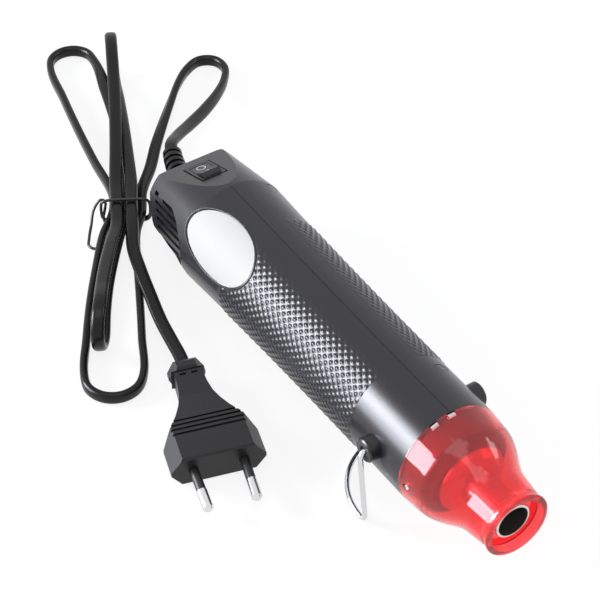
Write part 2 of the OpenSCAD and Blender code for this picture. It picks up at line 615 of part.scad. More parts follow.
// The bent line of one leg, from inside its bush to the middle of the foot
leg_way = [sin(leg_lean), 0, -cos(leg_lean)];
function arc(c, u, v, r, from, to, n) = [for (i = [0 : n]) let(a = from + (to - from) * i / n) c + r * (cos(a) * u + sin(a) * v)];
leg_line = concat(
    [[pivot_at.x, leg_y - wire_bend - 1.5, pivot_at.z]],
    arc(pivot_at + [0, leg_y - wire_bend, 0] + wire_bend * leg_way, -leg_way, [0, 1, 0], wire_bend, 0, 90, 5),
    arc([foot_at - foot_bend, leg_y, wire_r + wire_bend], [0, 0, -1], [1, 0, 0], wire_bend, foot_turn, 0, 6),
    arc([foot_at - foot_bend, 0, wire_r], [0, 1, 0], [-1, 0, 0], leg_y, 10, 90, 8));
function mirrored(points) = [for (i = [len(points) - 2 : -1 : 0]) [points[i].x, -points[i].y, points[i].z]];
module stand_wire() color([0.82, 0.82, 0.84]) {
    line = concat(leg_line, mirrored(leg_line));
    tube_along(line, [for (p = line) [0.9, 0.1, 0.42]], wire_d - 0.02, wire_d - 0.02, 12);
    for (s = [-1, 1]) translate([pivot_at.x, s * (bush_in + 0.4), pivot_at.z]) rotate([s * -90, 0, 0])
        cylinder(r = wire_r, h = leg_y - wire_bend - bush_in - 0.9, $fn = 36);
}

// Cord: one route of points [x, y, z, roll], measured from below the tail end.
// Roll 0 lays the broad side flat, and roll 90 stands it on edge.
lead_route = [
    [-36, 14.5, 17, 0], [-44, 25, 12.5, 20], [-53.5, 38, 8, 50], [-64, 51, 4.5, 80], [-71, 58, 3.2, 90],
    [-78, 62.5, 2.9, 90], [-85, 61.5, 2.8, 90], [-88.5, 55.5, 2.8, 90], [-86, 48, 2.8, 90],
    [-80, 40, 2.8, 80], [-71, 31, 2.8, 60], [-61, 21.5, 2.8, 40], [-50.5, 12, 2.8, 20], [-39.5, 3, 2.8, 10]];
tail_route = [
    [3.4, -29.2, 8.4, 0], [15.4, -32.8, 7.6, 0], [28, -35.8, 6.4, 0], [41, -38.8, 5.6, 0], [53, -41, 6.2, 0]];
// The waist where the tie gathers the hank, and the direction in which the cord passes it
waist = [-19, -20];
waist_turn = -28;
layer = [4.1, 9.7];
// Each loop: heading, reach from the waist, radius of its end, height of its lowest run, and
// whether it lies in the floor's plane on edge or is folded back over itself
big_loop = [-32.5, 98, 11, 2.8, true];
wide_loop = [164, 111, 9.6, 2.8, true];
short_fold = [-37, 77, 9.6, 1.8, false];
long_fold = [154, 98, 9.6, 4.2, false];

function unit(v) = v / norm(v);
function heading(a) = [cos(a), sin(a), 0];
across = [-sin(waist_turn), cos(waist_turn), 0];
// A place in the waist: distance along it, distance across it, and height
function slot(s, q, z) = [waist.x, waist.y, z] + s * heading(waist_turn) + q * across;
// A loop's end: an arc of six points on edge, or stood up as a fold
function loop_end(way, up) =
    let(d = heading(way[0]),
        side = way[4] ? [-sin(way[0]), cos(way[0]), 0] : [0, 0, up],
        c = [waist.x, waist.y, way[3] + (way[4] ? 0 : way[2])] + (way[1] - way[2]) * d)
    [for (i = [0 : 5]) c + way[2] * (cos(90 - 36 * i) * d + sin(90 - 36 * i) * side)];
// Points between two ends, bowed outwards by a little
function leg(a, b, bow, dip) = [for (i = [1 : 3])
    let(t = i / 4) a * (1 - t) + b * t + bow * sin(180 * t) * across - [0, 0, dip * sin(180 * t)]];
function mark(points, side) = [for (p = points) [p, side]];
function rolled(list) = [for (i = [0 : len(list) - 1])
    let(a = list[max(i - 1, 0)], b = list[min(i + 1, len(list) - 1)],
        t = unit([b.x - a.x, b.y - a.y, 0]), r = list[i][3])
    [[list[i].x, list[i].y, list[i].z], cos(r) * [-t.y, t.x, 0] + sin(r) * [0, 0, 1]]];
EDGE = [0, 0, 1];
big_end = loop_end(big_loop, 1);
wide_end = loop_end(wide_loop, 1);
short_end = loop_end(short_fold, -1);
long_end = loop_end(long_fold, 1);
pass_1 = [slot(-12, 6.4, layer[0]), slot(0, 5.6, layer[0]), slot(12, 3, layer[0])];
pass_2 = [slot(12, -9.4, layer[0]), slot(0, -5.6, layer[0]), slot(-12, -5.4, layer[0])];
pass_3 = [slot(-12, 0.8, layer[0]), slot(0, 0, layer[0]), slot(12, -3.2, layer[0])];
pass_4 = [slot(12, -3.6, layer[1]), slot(0, -3.4, layer[1]), slot(-12, -3.6, layer[1])];
pass_5 = [slot(-12, 2.6, layer[1]), slot(0, 2.4, layer[1]), slot(12, 2.4, layer[1])];
function tool_floor(p) = [p.x + origin_x, p.y, p.z];
relief_tip = tool_floor(tool_point(relief_point(1)));
relief_way = unit(relief_tip - tool_floor(tool_point(relief_point(0.97))));
plug_face = [115.3, -57.8];
plug_turn = -16;
plug_entry = [plug_face.x, plug_face.y, plug_h / 2] - plug_l * heading(plug_turn);
lead_points = concat(
    mark([relief_tip + 0.05 * relief_way, relief_tip + cord_w * relief_way], [-relief_way.y, relief_way.x, 0]),
    rolled(lead_route));
hank_points = concat(
    mark(pass_1, [across.x, across.y, 0.3]), mark(leg(pass_1[2], big_end[0], 0.5, 0), EDGE),
    mark(big_end, EDGE), mark(leg(big_end[5], pass_2[0], -1.5, 0), EDGE),
    mark(pass_2, EDGE), mark(leg(pass_2[2], wide_end[0], -1, 0), EDGE),
    mark(wide_end, EDGE), mark(leg(wide_end[5], pass_3[0], 3, 0.6), across),
    mark(pass_3, across),
    mark(leg(pass_3[2], short_end[0], -1.5, 0), across), mark(short_end, across),
    mark(leg(short_end[5], pass_4[0], -1, 0), across), mark(pass_4, across),
    mark(leg(pass_4[2], long_end[0], 0.8, 0), across), mark(long_end, across),
    mark(leg(long_end[5], pass_5[0], 0.5, -2), across), mark(pass_5, across));
tail_points = concat(rolled(tail_route),
    mark([plug_entry - cord_w * heading(plug_turn), plug_entry - 0.05 * heading(plug_turn)],
        [-sin(plug_turn), cos(plug_turn), 0]));
route = concat(lead_points, hank_points, tail_points);

// A smooth curve through the route: each point's direction is the mean of its two sides
function way_at(i) = unit(
    (i > 0 ? unit(route[i][0] - route[i - 1][0]) : [0, 0, 0]) +
    (i < len(route) - 1 ? unit(route[i + 1][0] - route[i][0]) : [0, 0, 0]));
ways = [for (i = [0 : len(route) - 1]) way_at(i)];
function on_curve(i, t) =
    let(a = route[i][0], b = route[i + 1][0], d = norm(b - a), t2 = t * t, t3 = t2 * t)
    (2 * t3 - 3 * t2 + 1) * a + (t3 - 2 * t2 + t) * d * ways[i]
    + (3 * t2 - 2 * t3) * b + (t3 - t2) * d * ways[i + 1];
function side_at(i, t) = route[i][1] * (1 - t) + route[i + 1][1] * t;
function curve(first, last) = concat(
    [for (i = [first : last - 1]) for (k = [0 : 1]) on_curve(i, k / 2)], [route[last][0]]);
function sides(first, last) = concat(
    [for (i = [first : last - 1]) for (k = [0 : 1]) side_at(i, k / 2)], [route[last][1]]);

// One closed tube of triangles along points, its section w wide along `broad` and t thick
module tube_along(points, broad, w, t, n) {
    last = len(points) - 1;
    rings = [for (i = [0 : last])
        let(d = unit(points[min(i + 1, last)] - points[max(i - 1, 0)]),
            b = unit(broad[i] - (broad[i] * d) * d),
            u = cross(d, b))
        [for (k = [0 : n - 1]) points[i] + w / 2 * cos(360 * k / n) * b + t / 2 * sin(360 * k / n) * u]];
    polyhedron(
        points = concat([for (r = rings) for (p = r) p], [points[0]], [points[last]]),
        faces = concat(
            [for (i = [0 : last - 1]) for (k = [0 : n - 1]) let(m = (k + 1) % n) [i * n + k, i * n + n + k, i * n + m]],
            [for (i = [0 : last - 1]) for (k = [0 : n - 1]) let(m = (k + 1) % n) [i * n + m, i * n + n + k, i * n + n + m]],
            [for (k = [0 : n - 1]) [n * last + n, k, (k + 1) % n]],
            [for (k = [0 : n - 1]) [n * last + n + 1, last * n + (k + 1) % n, last * n + k]]));
}
n_lead = len(lead_points);
n_hank = n_lead + len(hank_points);
module cord_piece(first, last, n) on_floor()
    tube_along(curve(first, last), sides(first, last), cord_w, cord_t, n);
module cord_lead() color([0.1, 0.1, 0.11]) cord_piece(0, n_lead, 8);
module cord_hank() color([0.1, 0.1, 0.11]) cord_piece(n_lead, n_hank - 1, 6);
module cord_tail() color([0.1, 0.1, 0.11]) cord_piece(n_hank - 1, len(route) - 1, 8);
module on_floor() translate([-origin_x, 0, 0]) children();

whole_curve = curve(0, len(route) - 1);
cord_length = [for (i = [1 : len(whole_curve) - 1]) norm(whole_curve[i] - whole_curve[i - 1])] * [
    for (i = [1 : len(whole_curve) - 1]) 1];
echo(cord_length = cord_length);

// The tie: a thin wire wound one and a half times round the waist, with its tail hanging loose
tie_d = 1.2;
tie_half_w = 9.8;
tie_square = 0.4;
tie_low = tie_d / 2 + 0.1;
tie_high = layer[1] + cord_t / 2 + tie_d / 2 + 0.3;
tie_tail = [[-25.5, -26.5, 10], [-26.5, -30, 7], [-22, -34.5, 2.5], [-17.5, -38, 0.9], [-13.5, -40, 0.8],
    [-11, -38.2, 0.8], [-13, -35.8, 1.4]];
function power(v, e) = sign(v) * pow(abs(v), e);
tie_points = concat(
    [for (i = [0 : 34]) let(a = -15 * i + 10)
        slot(i * 0.06 - 1, tie_half_w * power(cos(a), tie_square),
            (tie_high + tie_low) / 2 + (tie_high - tie_low) / 2 * power(sin(a), tie_square))],
    tie_tail);
module cord_tie() color([0.08, 0.08, 0.08]) on_floor() {
    tube_along(tie_points, [for (p = tie_points) [0.31, -0.17, 0.94]], tie_d, tie_d, 6);
    translate(slot(0, tie_half_w + 1.2, 7)) sphere(r = 1.4, $fn = 24);
}

// Plug: one moulding of a hexagonal block, a tapering neck that starts with four ribs, and a collar
plug_block = 11.5;
flank_slope = 4.4;
blunt_edge = 0.8;
neck_w = 10.5;
neck_h = 8.6;
neck_taper = 20;
collar_w = 14;
collar_h = 11;
collar_len = 5;
rib_count = 4;
rib_pitch = 2.3;
rib_deep = 0.6;
module on_plug() on_floor() translate([plug_face.x, plug_face.y, plug_h / 2]) rotate([0, 0, plug_turn]) children();
// The hollow curve by which one flank draws in from the block to the neck
plug_flank = [for (i = [1 : 6]) let(t = i / 6)
    [-plug_block - t * (plug_l - plug_block - collar_len - 2), neck_w / 2 + (plug_w - neck_w) / 2 * pow(1 - t, 2.2)]];
module plug_outline() polygon(let(w = plug_w / 2, c = collar_w / 2, l = plug_l, half = concat(
    [[0, w], [-plug_block, w]], plug_flank,
    [[-l + collar_len, neck_w / 2], [-l + collar_len, c - 0.8], [-l + collar_len - 0.8, c], [-l + 1.6, c], [-l, c - 3]]))
    concat(half, [for (i = [len(half) - 1 : -1 : 0]) [half[i].x, -half[i].y]]));
// Half the height along the top, which slopes down behind the block
function plug_top(x) = (neck_h + (plug_h - neck_h) * (1 - ease((-x - plug_block) / neck_taper))) / 2;
module plug_side() polygon(let(l = plug_l, half = concat(
    [[0, plug_h / 2 - blunt_edge], [-blunt_edge, plug_h / 2], [-plug_block, plug_h / 2]],
    [for (i = [0 : rib_count - 1]) let(a = -plug_block - 0.3 - rib_pitch * i, b = a - 1) each [
        [a, plug_top(a)], [a, plug_top(a) - rib_deep], [b, plug_top(b) - rib_deep], [b, plug_top(b)]]],
    [[-plug_block - neck_taper, neck_h / 2], [-l + collar_len, neck_h / 2], [-l + collar_len, collar_h / 2 - 0.8],
        [-l + collar_len - 0.8, collar_h / 2], [-l + 1.6, collar_h / 2], [-l, neck_h / 2]]))
    concat(half, [for (i = [len(half) - 1 : -1 : 0]) [half[i].x, -half[i].y]]));
// A section of the plug: flat above and below, with flanks that come to a blunt edge
module plug_section(w, h, slope) polygon([
    [-w, -blunt_edge], [slope - w, -h], [w - slope, -h], [w, -blunt_edge],
    [w, blunt_edge], [w - slope, h], [slope - w, h], [-w, blunt_edge]]);
module plug_body() color([0.17, 0.17, 0.18]) on_plug() difference() {
    intersection() {
        translate([0, 0, -plug_h]) linear_extrude(2 * plug_h) plug_outline();
        rotate([90, 0, 0]) linear_extrude(2 * plug_w, center = true) plug_side();
        union() {
            rotate([90, 0, -90]) linear_extrude(plug_l - collar_len + EPS)
                plug_section(plug_w / 2, plug_h / 2, flank_slope);
            translate([collar_len - plug_l, 0, 0]) rotate([90, 0, -90]) linear_extrude(collar_len)
                plug_section(collar_w / 2, collar_h / 2, flank_slope - 1);
        }
    }
    for (s = [-1, 1]) translate([collar_len - plug_l + 1.4, s * 2.2 - 1.2, neck_h / 2 - 0.8]) cube([0.9, 2.4, 2]);
    for (s = [-1, 1]) at_pin(s) rotate([0, 90, 0]) {
        translate([0, 0, -pin_root - 0.2]) cylinder(r = pin_core_r + 0.05, h = pin_root + 1, $fn = 36);
        translate([0, 0, -sleeve_root - seat_gap]) cylinder(r = sleeve_r + seat_gap, h = sleeve_root + 1, $fn = 48);
    }
}
pin_root = 6;
pin_core_r = 1.4;
sleeve_root = 1.5;
sleeve_r = pin_d / 2 - 0.2;
pin_toe = 1.6;
module at_pin(s) translate([0, s * pin_pitch / 2, 0]) rotate([0, 0, s * -pin_toe]) children();
module plug_sleeves() color([0.12, 0.12, 0.12]) on_plug() for (s = [-1, 1]) at_pin(s) rotate([0, 90, 0]) difference() {
    translate([0, 0, -sleeve_root]) cylinder(r = sleeve_r, h = sleeve_root + sleeve_l, $fn = 48);
    translate([0, 0, -sleeve_root - 1]) cylinder(r = pin_core_r + 0.05, h = sleeve_root + sleeve_l + 2, $fn = 36);
}
module plug_pins() color([0.85, 0.85, 0.87]) on_plug() for (s = [-1, 1]) at_pin(s) rotate([0, 90, 0]) {
    translate([0, 0, -pin_root]) cylinder(r = pin_core_r, h = pin_root + sleeve_l + 0.2, $fn = 36);
    translate([0, 0, sleeve_l + 0.05]) cylinder(r = pin_d / 2, h = pin_l - sleeve_l - 1.05, $fn = 48);
    translate([0, 0, pin_l - 1 - EPS]) cylinder(r1 = pin_d / 2, r2 = pin_d / 2 - 1, h = 1 + EPS, $fn = 48);
}

// Places that the record of this part repeats
echo(origin_x = origin_x, axis_h = axis_h, pivot_at = pivot_at);
echo(rocker_pivot = tool_point(facet_point(0, 0, -rocker_drop)));
echo(fan_centre = tool_point([fan_x, 0, 0]), outlet = tool_point([outlet_x, 0, 0]));
echo(relief_tip = relief_tip, plug_entry = plug_entry);
// Least gap of the hank's tube to itself, between rings that lie more than four cords apart along it
hank_curve = curve(n_lead, n_hank - 1);
hank_sides = sides(n_lead, n_hank - 1);
function rim_points(i, last = len(hank_curve) - 1) =
    let(d = unit(hank_curve[min(i + 1, last)] - hank_curve[max(i - 1, 0)]),
        b = unit(hank_sides[i] - (hank_sides[i] * d) * d), u = cross(d, b))
    [for (k = [0 : 5]) hank_curve[i] + cord_w / 2 * cos(60 * k) * b + cord_t / 2 * sin(60 * k) * u];
rims = [for (i = [0 : len(hank_curve) - 1]) rim_points(i)];
echo(least_self_gap = min([for (i = [0 : len(rims) - 2]) for (j = [i + 5 : 1 : len(rims) - 1])
    if (norm(hank_curve[i] - hank_curve[j]) < 14)
        min([for (p = rims[i]) for (q = rims[j]) norm(p - q)])]));

case_right();
case_left();
case_screws();
label_plate();
switch_frame();
switch_rocker();
switch_terminals();
strain_relief();
cord_clamp();
inner_cable();
rectifier_board();
motor_end_cap();
motor_can();
motor_mount();
motor_shaft();
fan_impeller();
fan_shroud();
heater_tube();
mica_liner();
mica_cross();
heating_coil();
thermostat();
thermal_fuse();
heater_leads();
front_flange();
nozzle_guard();
stand_boss_right();
stand_boss_left();
stand_wire();
cord_lead();
cord_hank();
cord_tail();
cord_tie();
plug_body();
plug_sleeves();
plug_pins();
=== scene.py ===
from math import cos, degrees, pi, radians, sin
import bmesh
import bpy
from mathutils import Matrix, Vector


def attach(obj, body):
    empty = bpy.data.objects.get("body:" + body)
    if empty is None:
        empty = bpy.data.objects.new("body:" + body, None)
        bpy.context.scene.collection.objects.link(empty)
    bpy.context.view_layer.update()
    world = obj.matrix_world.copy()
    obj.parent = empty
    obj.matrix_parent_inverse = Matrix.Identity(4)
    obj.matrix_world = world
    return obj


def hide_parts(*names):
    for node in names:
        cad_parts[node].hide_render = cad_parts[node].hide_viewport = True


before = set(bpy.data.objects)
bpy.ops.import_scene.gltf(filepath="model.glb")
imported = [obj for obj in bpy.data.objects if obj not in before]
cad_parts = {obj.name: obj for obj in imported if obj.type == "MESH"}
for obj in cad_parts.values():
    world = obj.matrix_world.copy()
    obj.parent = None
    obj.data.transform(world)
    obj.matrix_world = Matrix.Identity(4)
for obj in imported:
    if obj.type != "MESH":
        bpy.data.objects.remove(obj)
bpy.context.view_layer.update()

# The photograph's camera: a long lens that looks down on the tool from in front of its nozzle,
# on the side that carries the label. The aim is a point on the surface the tool stands on.
CAMERA_AZIMUTH = radians(56.891)
CAMERA_ELEVATION = radians(45.429)
CAMERA_ROLL = radians(0.221)
CAMERA_DISTANCE = 0.77693
CAMERA_AIM = Vector((-0.04884, 0.01460, 0.0))
LENS_MM = 120.0
SENSOR_MM = 36.0
NEAREST_SEEN = 0.01
back = Vector((sin(CAMERA_AZIMUTH) * cos(CAMERA_ELEVATION),
               -cos(CAMERA_AZIMUTH) * cos(CAMERA_ELEVATION), sin(CAMERA_ELEVATION)))
level = Vector((cos(CAMERA_AZIMUTH), sin(CAMERA_AZIMUTH), 0.0))
upward = back.cross(level)
across_view = level * cos(CAMERA_ROLL) + upward * sin(CAMERA_ROLL)
up_view = upward * cos(CAMERA_ROLL) - level * sin(CAMERA_ROLL)
camera_data = bpy.data.cameras.new("camera")
camera_data.lens = LENS_MM
camera_data.sensor_width = SENSOR_MM
camera_data.clip_start = NEAREST_SEEN
camera = bpy.data.objects.new("camera", camera_data)
bpy.context.collection.objects.link(camera)
camera.matrix_world = Matrix.Translation(CAMERA_AIM + CAMERA_DISTANCE * back) @ Matrix(
    (across_view, up_view, back)).transposed().to_4x4()
bpy.context.scene.camera = camera
bpy.context.scene.view_settings.view_transform = "Standard"

# The studio: a plain white sweep that keeps the object's soft shadow, a soft lamp low on the tail
# side, two weaker lamps above and beyond the tool, and a wide card beside the first lamp that shows
# only as the long sheen on gloss.
SWEEP_HALF = 2.0
SWEEP_DROP = 0.0001
# The paper's tone where it lights the object; where it is seen, its own glow and its shaded share
FLOOR_TONE = 0.80
GLOW_SHARE = 0.84
SHADOWED_SHARE = 0.28
SKY_TINT = (0.93, 0.95, 1.0)
SKY_LEVEL = 0.36
CARD_TINT = (0.86, 0.90, 1.0)
# Each lamp: which way it stands, how far off, its width and its power in watts
LAMPS = {
    "key": (Vector((-0.62, -0.70, 0.36)), 1.3, 0.42, 10.8),
    "far": (Vector((0.35, 0.80, 0.50)), 1.3, 0.5, 3.5),
    "top": (Vector((0.10, -0.15, 1.0)), 1.4, 0.8, 2.5),
    "card": (Vector((-0.46, -0.84, 0.33)), 1.3, 0.86, 36.0)}


def seen_ray(tree):
    """1 for rays that show the background: to the camera, off gloss and through clear plastic."""
    path = tree.nodes.new("ShaderNodeLightPath")
    total = path.outputs["Is Camera Ray"]
    for kind in ("Is Glossy Ray", "Is Transmission Ray"):
        either = tree.nodes.new("ShaderNodeMath")
        either.operation = "MAXIMUM"
        tree.links.new(total, either.inputs[0])
        tree.links.new(path.outputs[kind], either.inputs[1])
        total = either.outputs[0]
    return total


world = bpy.data.worlds.new("studio")
bpy.context.scene.world = world
world.use_nodes = True
sky = world.node_tree
lit_sky = sky.nodes["Background"]
lit_sky.inputs["Color"].default_value = (*SKY_TINT, 1.0)
lit_sky.inputs["Strength"].default_value = SKY_LEVEL
white_sky = sky.nodes.new("ShaderNodeBackground")
white_sky.inputs["Color"].default_value = (1.0, 1.0, 1.0, 1.0)
white_sky.inputs["Strength"].default_value = 1.0
sky_mix = sky.nodes.new("ShaderNodeMixShader")
sky.links.new(seen_ray(sky), sky_mix.inputs[0])
sky.links.new(lit_sky.outputs[0], sky_mix.inputs[1])
sky.links.new(white_sky.outputs[0], sky_mix.inputs[2])
sky.links.new(sky_mix.outputs[0], sky.nodes["World Output"].inputs["Surface"])

sweep_corners = [(x * SWEEP_HALF, y * SWEEP_HALF, -SWEEP_DROP)
                 for x, y in ((-1, -1), (1, -1), (1, 1), (-1, 1))]
sweep_mesh = bpy.data.meshes.new("sweep")
sweep_mesh.from_pydata(sweep_corners, [], [(0, 1, 2, 3)])
sweep = bpy.data.objects.new("sweep", sweep_mesh)
bpy.context.collection.objects.link(sweep)
paper = bpy.data.materials.new("sweep_paper")
paper.use_nodes = True
tree = paper.node_tree
tree.nodes.remove(tree.nodes["Principled BSDF"])
plain = tree.nodes.new("ShaderNodeBsdfDiffuse")
plain.inputs["Color"].default_value = (FLOOR_TONE, FLOOR_TONE, FLOOR_TONE, 1.0)
shaded = tree.nodes.new("ShaderNodeBsdfDiffuse")
shaded.inputs["Color"].default_value = (SHADOWED_SHARE, SHADOWED_SHARE, SHADOWED_SHARE, 1.0)
glow = tree.nodes.new("ShaderNodeEmission")
glow.inputs["Strength"].default_value = GLOW_SHARE
lit = tree.nodes.new("ShaderNodeAddShader")
tree.links.new(shaded.outputs[0], lit.inputs[0])
tree.links.new(glow.outputs[0], lit.inputs[1])
floor_mix = tree.nodes.new("ShaderNodeMixShader")
tree.links.new(seen_ray(tree), floor_mix.inputs[0])
tree.links.new(plain.outputs[0], floor_mix.inputs[1])
tree.links.new(lit.outputs[0], floor_mix.inputs[2])
tree.links.new(floor_mix.outputs[0], tree.nodes["Material Output"].inputs["Surface"])
sweep_mesh.materials.append(paper)

for lamp_name, (direction, distance, width, watts) in LAMPS.items():
    lamp_data = bpy.data.lights.new(lamp_name, "AREA")
    lamp_data.size = width
    lamp_data.energy = watts
    lamp = bpy.data.objects.new(lamp_name, lamp_data)
    if lamp_name == "card":
        lamp_data.color = CARD_TINT
        lamp.visible_diffuse = False
    bpy.context.collection.objects.link(lamp)
    towards = direction.normalized()
    facing = towards.to_track_quat("Z", "Y").to_matrix().to_4x4()
    lamp.matrix_world = Matrix.Translation(distance * towards) @ facing

# The mains cord: a flat two-core cord in a smooth sheath of black vinyl, 5.2 by 3.2 mm, with the
# strain relief moulded over it in the same vinyl. It swings out in one free bend, lies in a hank
# of four loops and runs out to the plug in one length.
CORD_WIDTH = 0.0052
CORD_THICKNESS = 0.0032
EDGE_RADIUS = CORD_THICKNESS / 2
EDGE_OFFSET = (CORD_WIDTH - CORD_THICKNESS) / 2
EDGE_STEPS = 5
FACE_CROWN = 0.00006
CORD_STEPS = 8
# The outline of the body and its guard, from which the cord starts. The tool stands tilted, on its
# widest ring and on the wire stand
TILT = radians(3.1)
BODY_LENGTH = 0.172
TAIL_RADIUS = 0.0205
WIDEST_RADIUS = 0.0238
WIDEST_AT = 0.032
FRONT_RADIUS = 0.021
GRIP_CURVE = 2.2
FACET_AT = 0.030
FACET_SLOPE = radians(17.5)
GUARD_LENGTH = 0.0387
GUARD_LIP_RADIUS = 0.0127
# The strain relief bends sideways in one arc. Its last stretch gives the way the cord leaves
RELIEF_LENGTH = 0.025
RELIEF_BEND = radians(25)
RELIEF_LAST = 0.97
# How far the cord is sunk into the relief's tip and into the plug's neck
IN_RELIEF = 0.002
IN_PLUG = 0.001


def body_radius(x):
    """The body's outer radius, at a distance from its tail end."""
    if x < WIDEST_AT:
        return TAIL_RADIUS + (WIDEST_RADIUS - TAIL_RADIUS) * x / WIDEST_AT
    share = (BODY_LENGTH - x) / (BODY_LENGTH - WIDEST_AT)
    return FRONT_RADIUS + (WIDEST_RADIUS - FRONT_RADIUS) * share ** GRIP_CURVE


def facet_height(x):
    """How far the switch's sloping facet stands above the body's axis."""
    return body_radius(FACET_AT) - (FACET_AT - x) * sin(FACET_SLOPE) / cos(FACET_SLOPE)


# Where the axis starts, to a tenth of a micrometre: above the floor, with the widest ring resting
# on it, and behind the middle between the tail end and the guard's lip, seen from above
axis_height = round(WIDEST_RADIUS * cos(TILT) - WIDEST_AT * sin(TILT), 7)
lip_ahead = (BODY_LENGTH + GUARD_LENGTH) * cos(TILT)
tail_behind = round((lip_ahead + (GUARD_LIP_RADIUS - facet_height(0.0)) * sin(TILT)) / 2, 7)


def tool_point(x, y, z):
    """A place given along, beside and above the body's axis, from its tail end."""
    ahead = x * cos(TILT) - z * sin(TILT)
    above = axis_height + x * sin(TILT) + z * cos(TILT)
    return Vector((ahead - tail_behind, y, above))


def floor_point(x, y, z):
    """A place given from below the tail end, on the surface the tool stands on."""
    return Vector((x - tail_behind, y, z))


def heading(angle):
    return Vector((cos(radians(angle)), sin(radians(angle)), 0.0))


def relief_point(share):
    """A place on the strain relief's bent axis, from the tail at 0 to its tip at 1."""
    radius = RELIEF_LENGTH / RELIEF_BEND
    turn = RELIEF_BEND * share
    return tool_point(-radius * sin(turn), radius * (1 - cos(turn)), 0.0)


# Free bend and plug run: place in metres, then the roll of the broad side in degrees
LEAD_ROUTE = [
    (-0.036, 0.0145, 0.017, 0), (-0.044, 0.025, 0.0125, 20), (-0.0535, 0.038, 0.008, 50),
    (-0.064, 0.051, 0.0045, 80), (-0.071, 0.058, 0.0032, 90), (-0.078, 0.0625, 0.0029, 90),
    (-0.085, 0.0615, 0.0028, 90), (-0.0885, 0.0555, 0.0028, 90), (-0.086, 0.048, 0.0028, 90),
    (-0.080, 0.040, 0.0028, 80), (-0.071, 0.031, 0.0028, 60), (-0.061, 0.0215, 0.0028, 40),
    (-0.0505, 0.012, 0.0028, 20), (-0.0395, 0.003, 0.0028, 10)]
TAIL_ROUTE = [
    (0.0034, -0.0292, 0.0084, 0), (0.0154, -0.0328, 0.0076, 0), (0.028, -0.0358, 0.0064, 0),
    (0.041, -0.0388, 0.0056, 0), (0.053, -0.041, 0.0062, 0)]
WAIST = (-0.019, -0.020)
WAIST_TURN = -28.0
WAIST_REACH = 0.012
LOW, HIGH = 0.0041, 0.0097
# Each pass through the waist: which way it runs, its three places beside the middle, its layer
PASSES = (
    (1, (0.0064, 0.0056, 0.003), LOW), (-1, (-0.0094, -0.0056, -0.0054), LOW),
    (1, (0.0008, 0.0, -0.0032), LOW), (-1, (-0.0036, -0.0034, -0.0036), HIGH),
    (1, (0.0026, 0.0024, 0.0024), HIGH))
FIRST_PASS_LEAN = 0.3
# Each loop: heading, reach, radius of its end, height of its lowest run, whether it lies on edge
BIG_LOOP = (-32.5, 0.098, 0.011, 0.0028, True)
WIDE_LOOP = (164.0, 0.111, 0.0096, 0.0028, True)
SHORT_FOLD = (-37.0, 0.077, 0.0096, 0.0018, False)
LONG_FOLD = (154.0, 0.098, 0.0096, 0.0042, False)
LOOP_STEPS = 5
LEG_PARTS = 4
PLUG_FACE = (0.1153, -0.0578)
PLUG_TURN = -16.0
PLUG_HEIGHT = 0.0137
PLUG_LENGTH = 0.049
across_waist = heading(WAIST_TURN + 90)
on_edge = Vector((0.0, 0.0, 1.0))
# For each loop, which way it turns, the bow of its leg out, the bow and the dip of its leg back,
# and where the cord's broad side faces on the way out and on the way back
HANK = (
    (BIG_LOOP, 1, 0.0005, -0.0015, 0.0, on_edge, on_edge),
    (WIDE_LOOP, 1, -0.001, 0.003, 0.0006, on_edge, across_waist),
    (SHORT_FOLD, -1, -0.0015, -0.001, 0.0, across_waist, across_waist),
    (LONG_FOLD, 1, 0.0008, 0.0005, -0.002, across_waist, across_waist))


def waist_slot(along, beside, height):
    """A place in the hank's waist, along and beside the way that the hank lies."""
    middle = floor_point(WAIST[0], WAIST[1], height)
    return middle + along * heading(WAIST_TURN) + beside * across_waist


def waist_pass(way, places, layer):
    slots = zip((-WAIST_REACH, 0.0, WAIST_REACH), places)
    return [waist_slot(way * along, beside, layer) for along, beside in slots]


def loop_end(loop, up):
    """The half turn at a loop's end, on edge on the floor or folded over upwards or downwards."""
    turn, reach, radius, height, stands = loop
    ahead = heading(turn)
    side = heading(turn + 90) if stands else Vector((0.0, 0.0, up))
    middle_height = height if stands else height + radius
    centre = floor_point(WAIST[0], WAIST[1], middle_height) + (reach - radius) * ahead
    turns = [radians(180 / LOOP_STEPS * i) for i in range(LOOP_STEPS + 1)]
    return [centre + radius * (sin(a) * ahead + cos(a) * side) for a in turns]


def loop_leg(start, end, bow, dip):
    """The places between the waist and a loop's end, bowed to one side and let down a little."""
    points = []
    for i in range(1, LEG_PARTS):
        share = sin(pi * i / LEG_PARTS)
        point = start.lerp(end, i / LEG_PARTS) + bow * share * across_waist
        points.append(point - Vector((0.0, 0.0, dip * share)))
    return points


def marked(points, broad):
    """Each point with the way that the cord's broad side faces there."""
    return [(point, broad) for point in points]


def rolled(route):
    """The places of a route, with the broad side rolled about the way the cord runs."""
    turned = []
    for i, (x, y, z, roll) in enumerate(route):
        before, after = route[max(i - 1, 0)], route[min(i + 1, len(route) - 1)]
        ahead = Vector((after[0] - before[0], after[1] - before[1], 0.0)).normalized()
        broad = cos(radians(roll)) * Vector((-ahead.y, ahead.x, 0.0)) + sin(radians(roll)) * on_edge
        turned.append((floor_point(x, y, z), broad))
    return turned


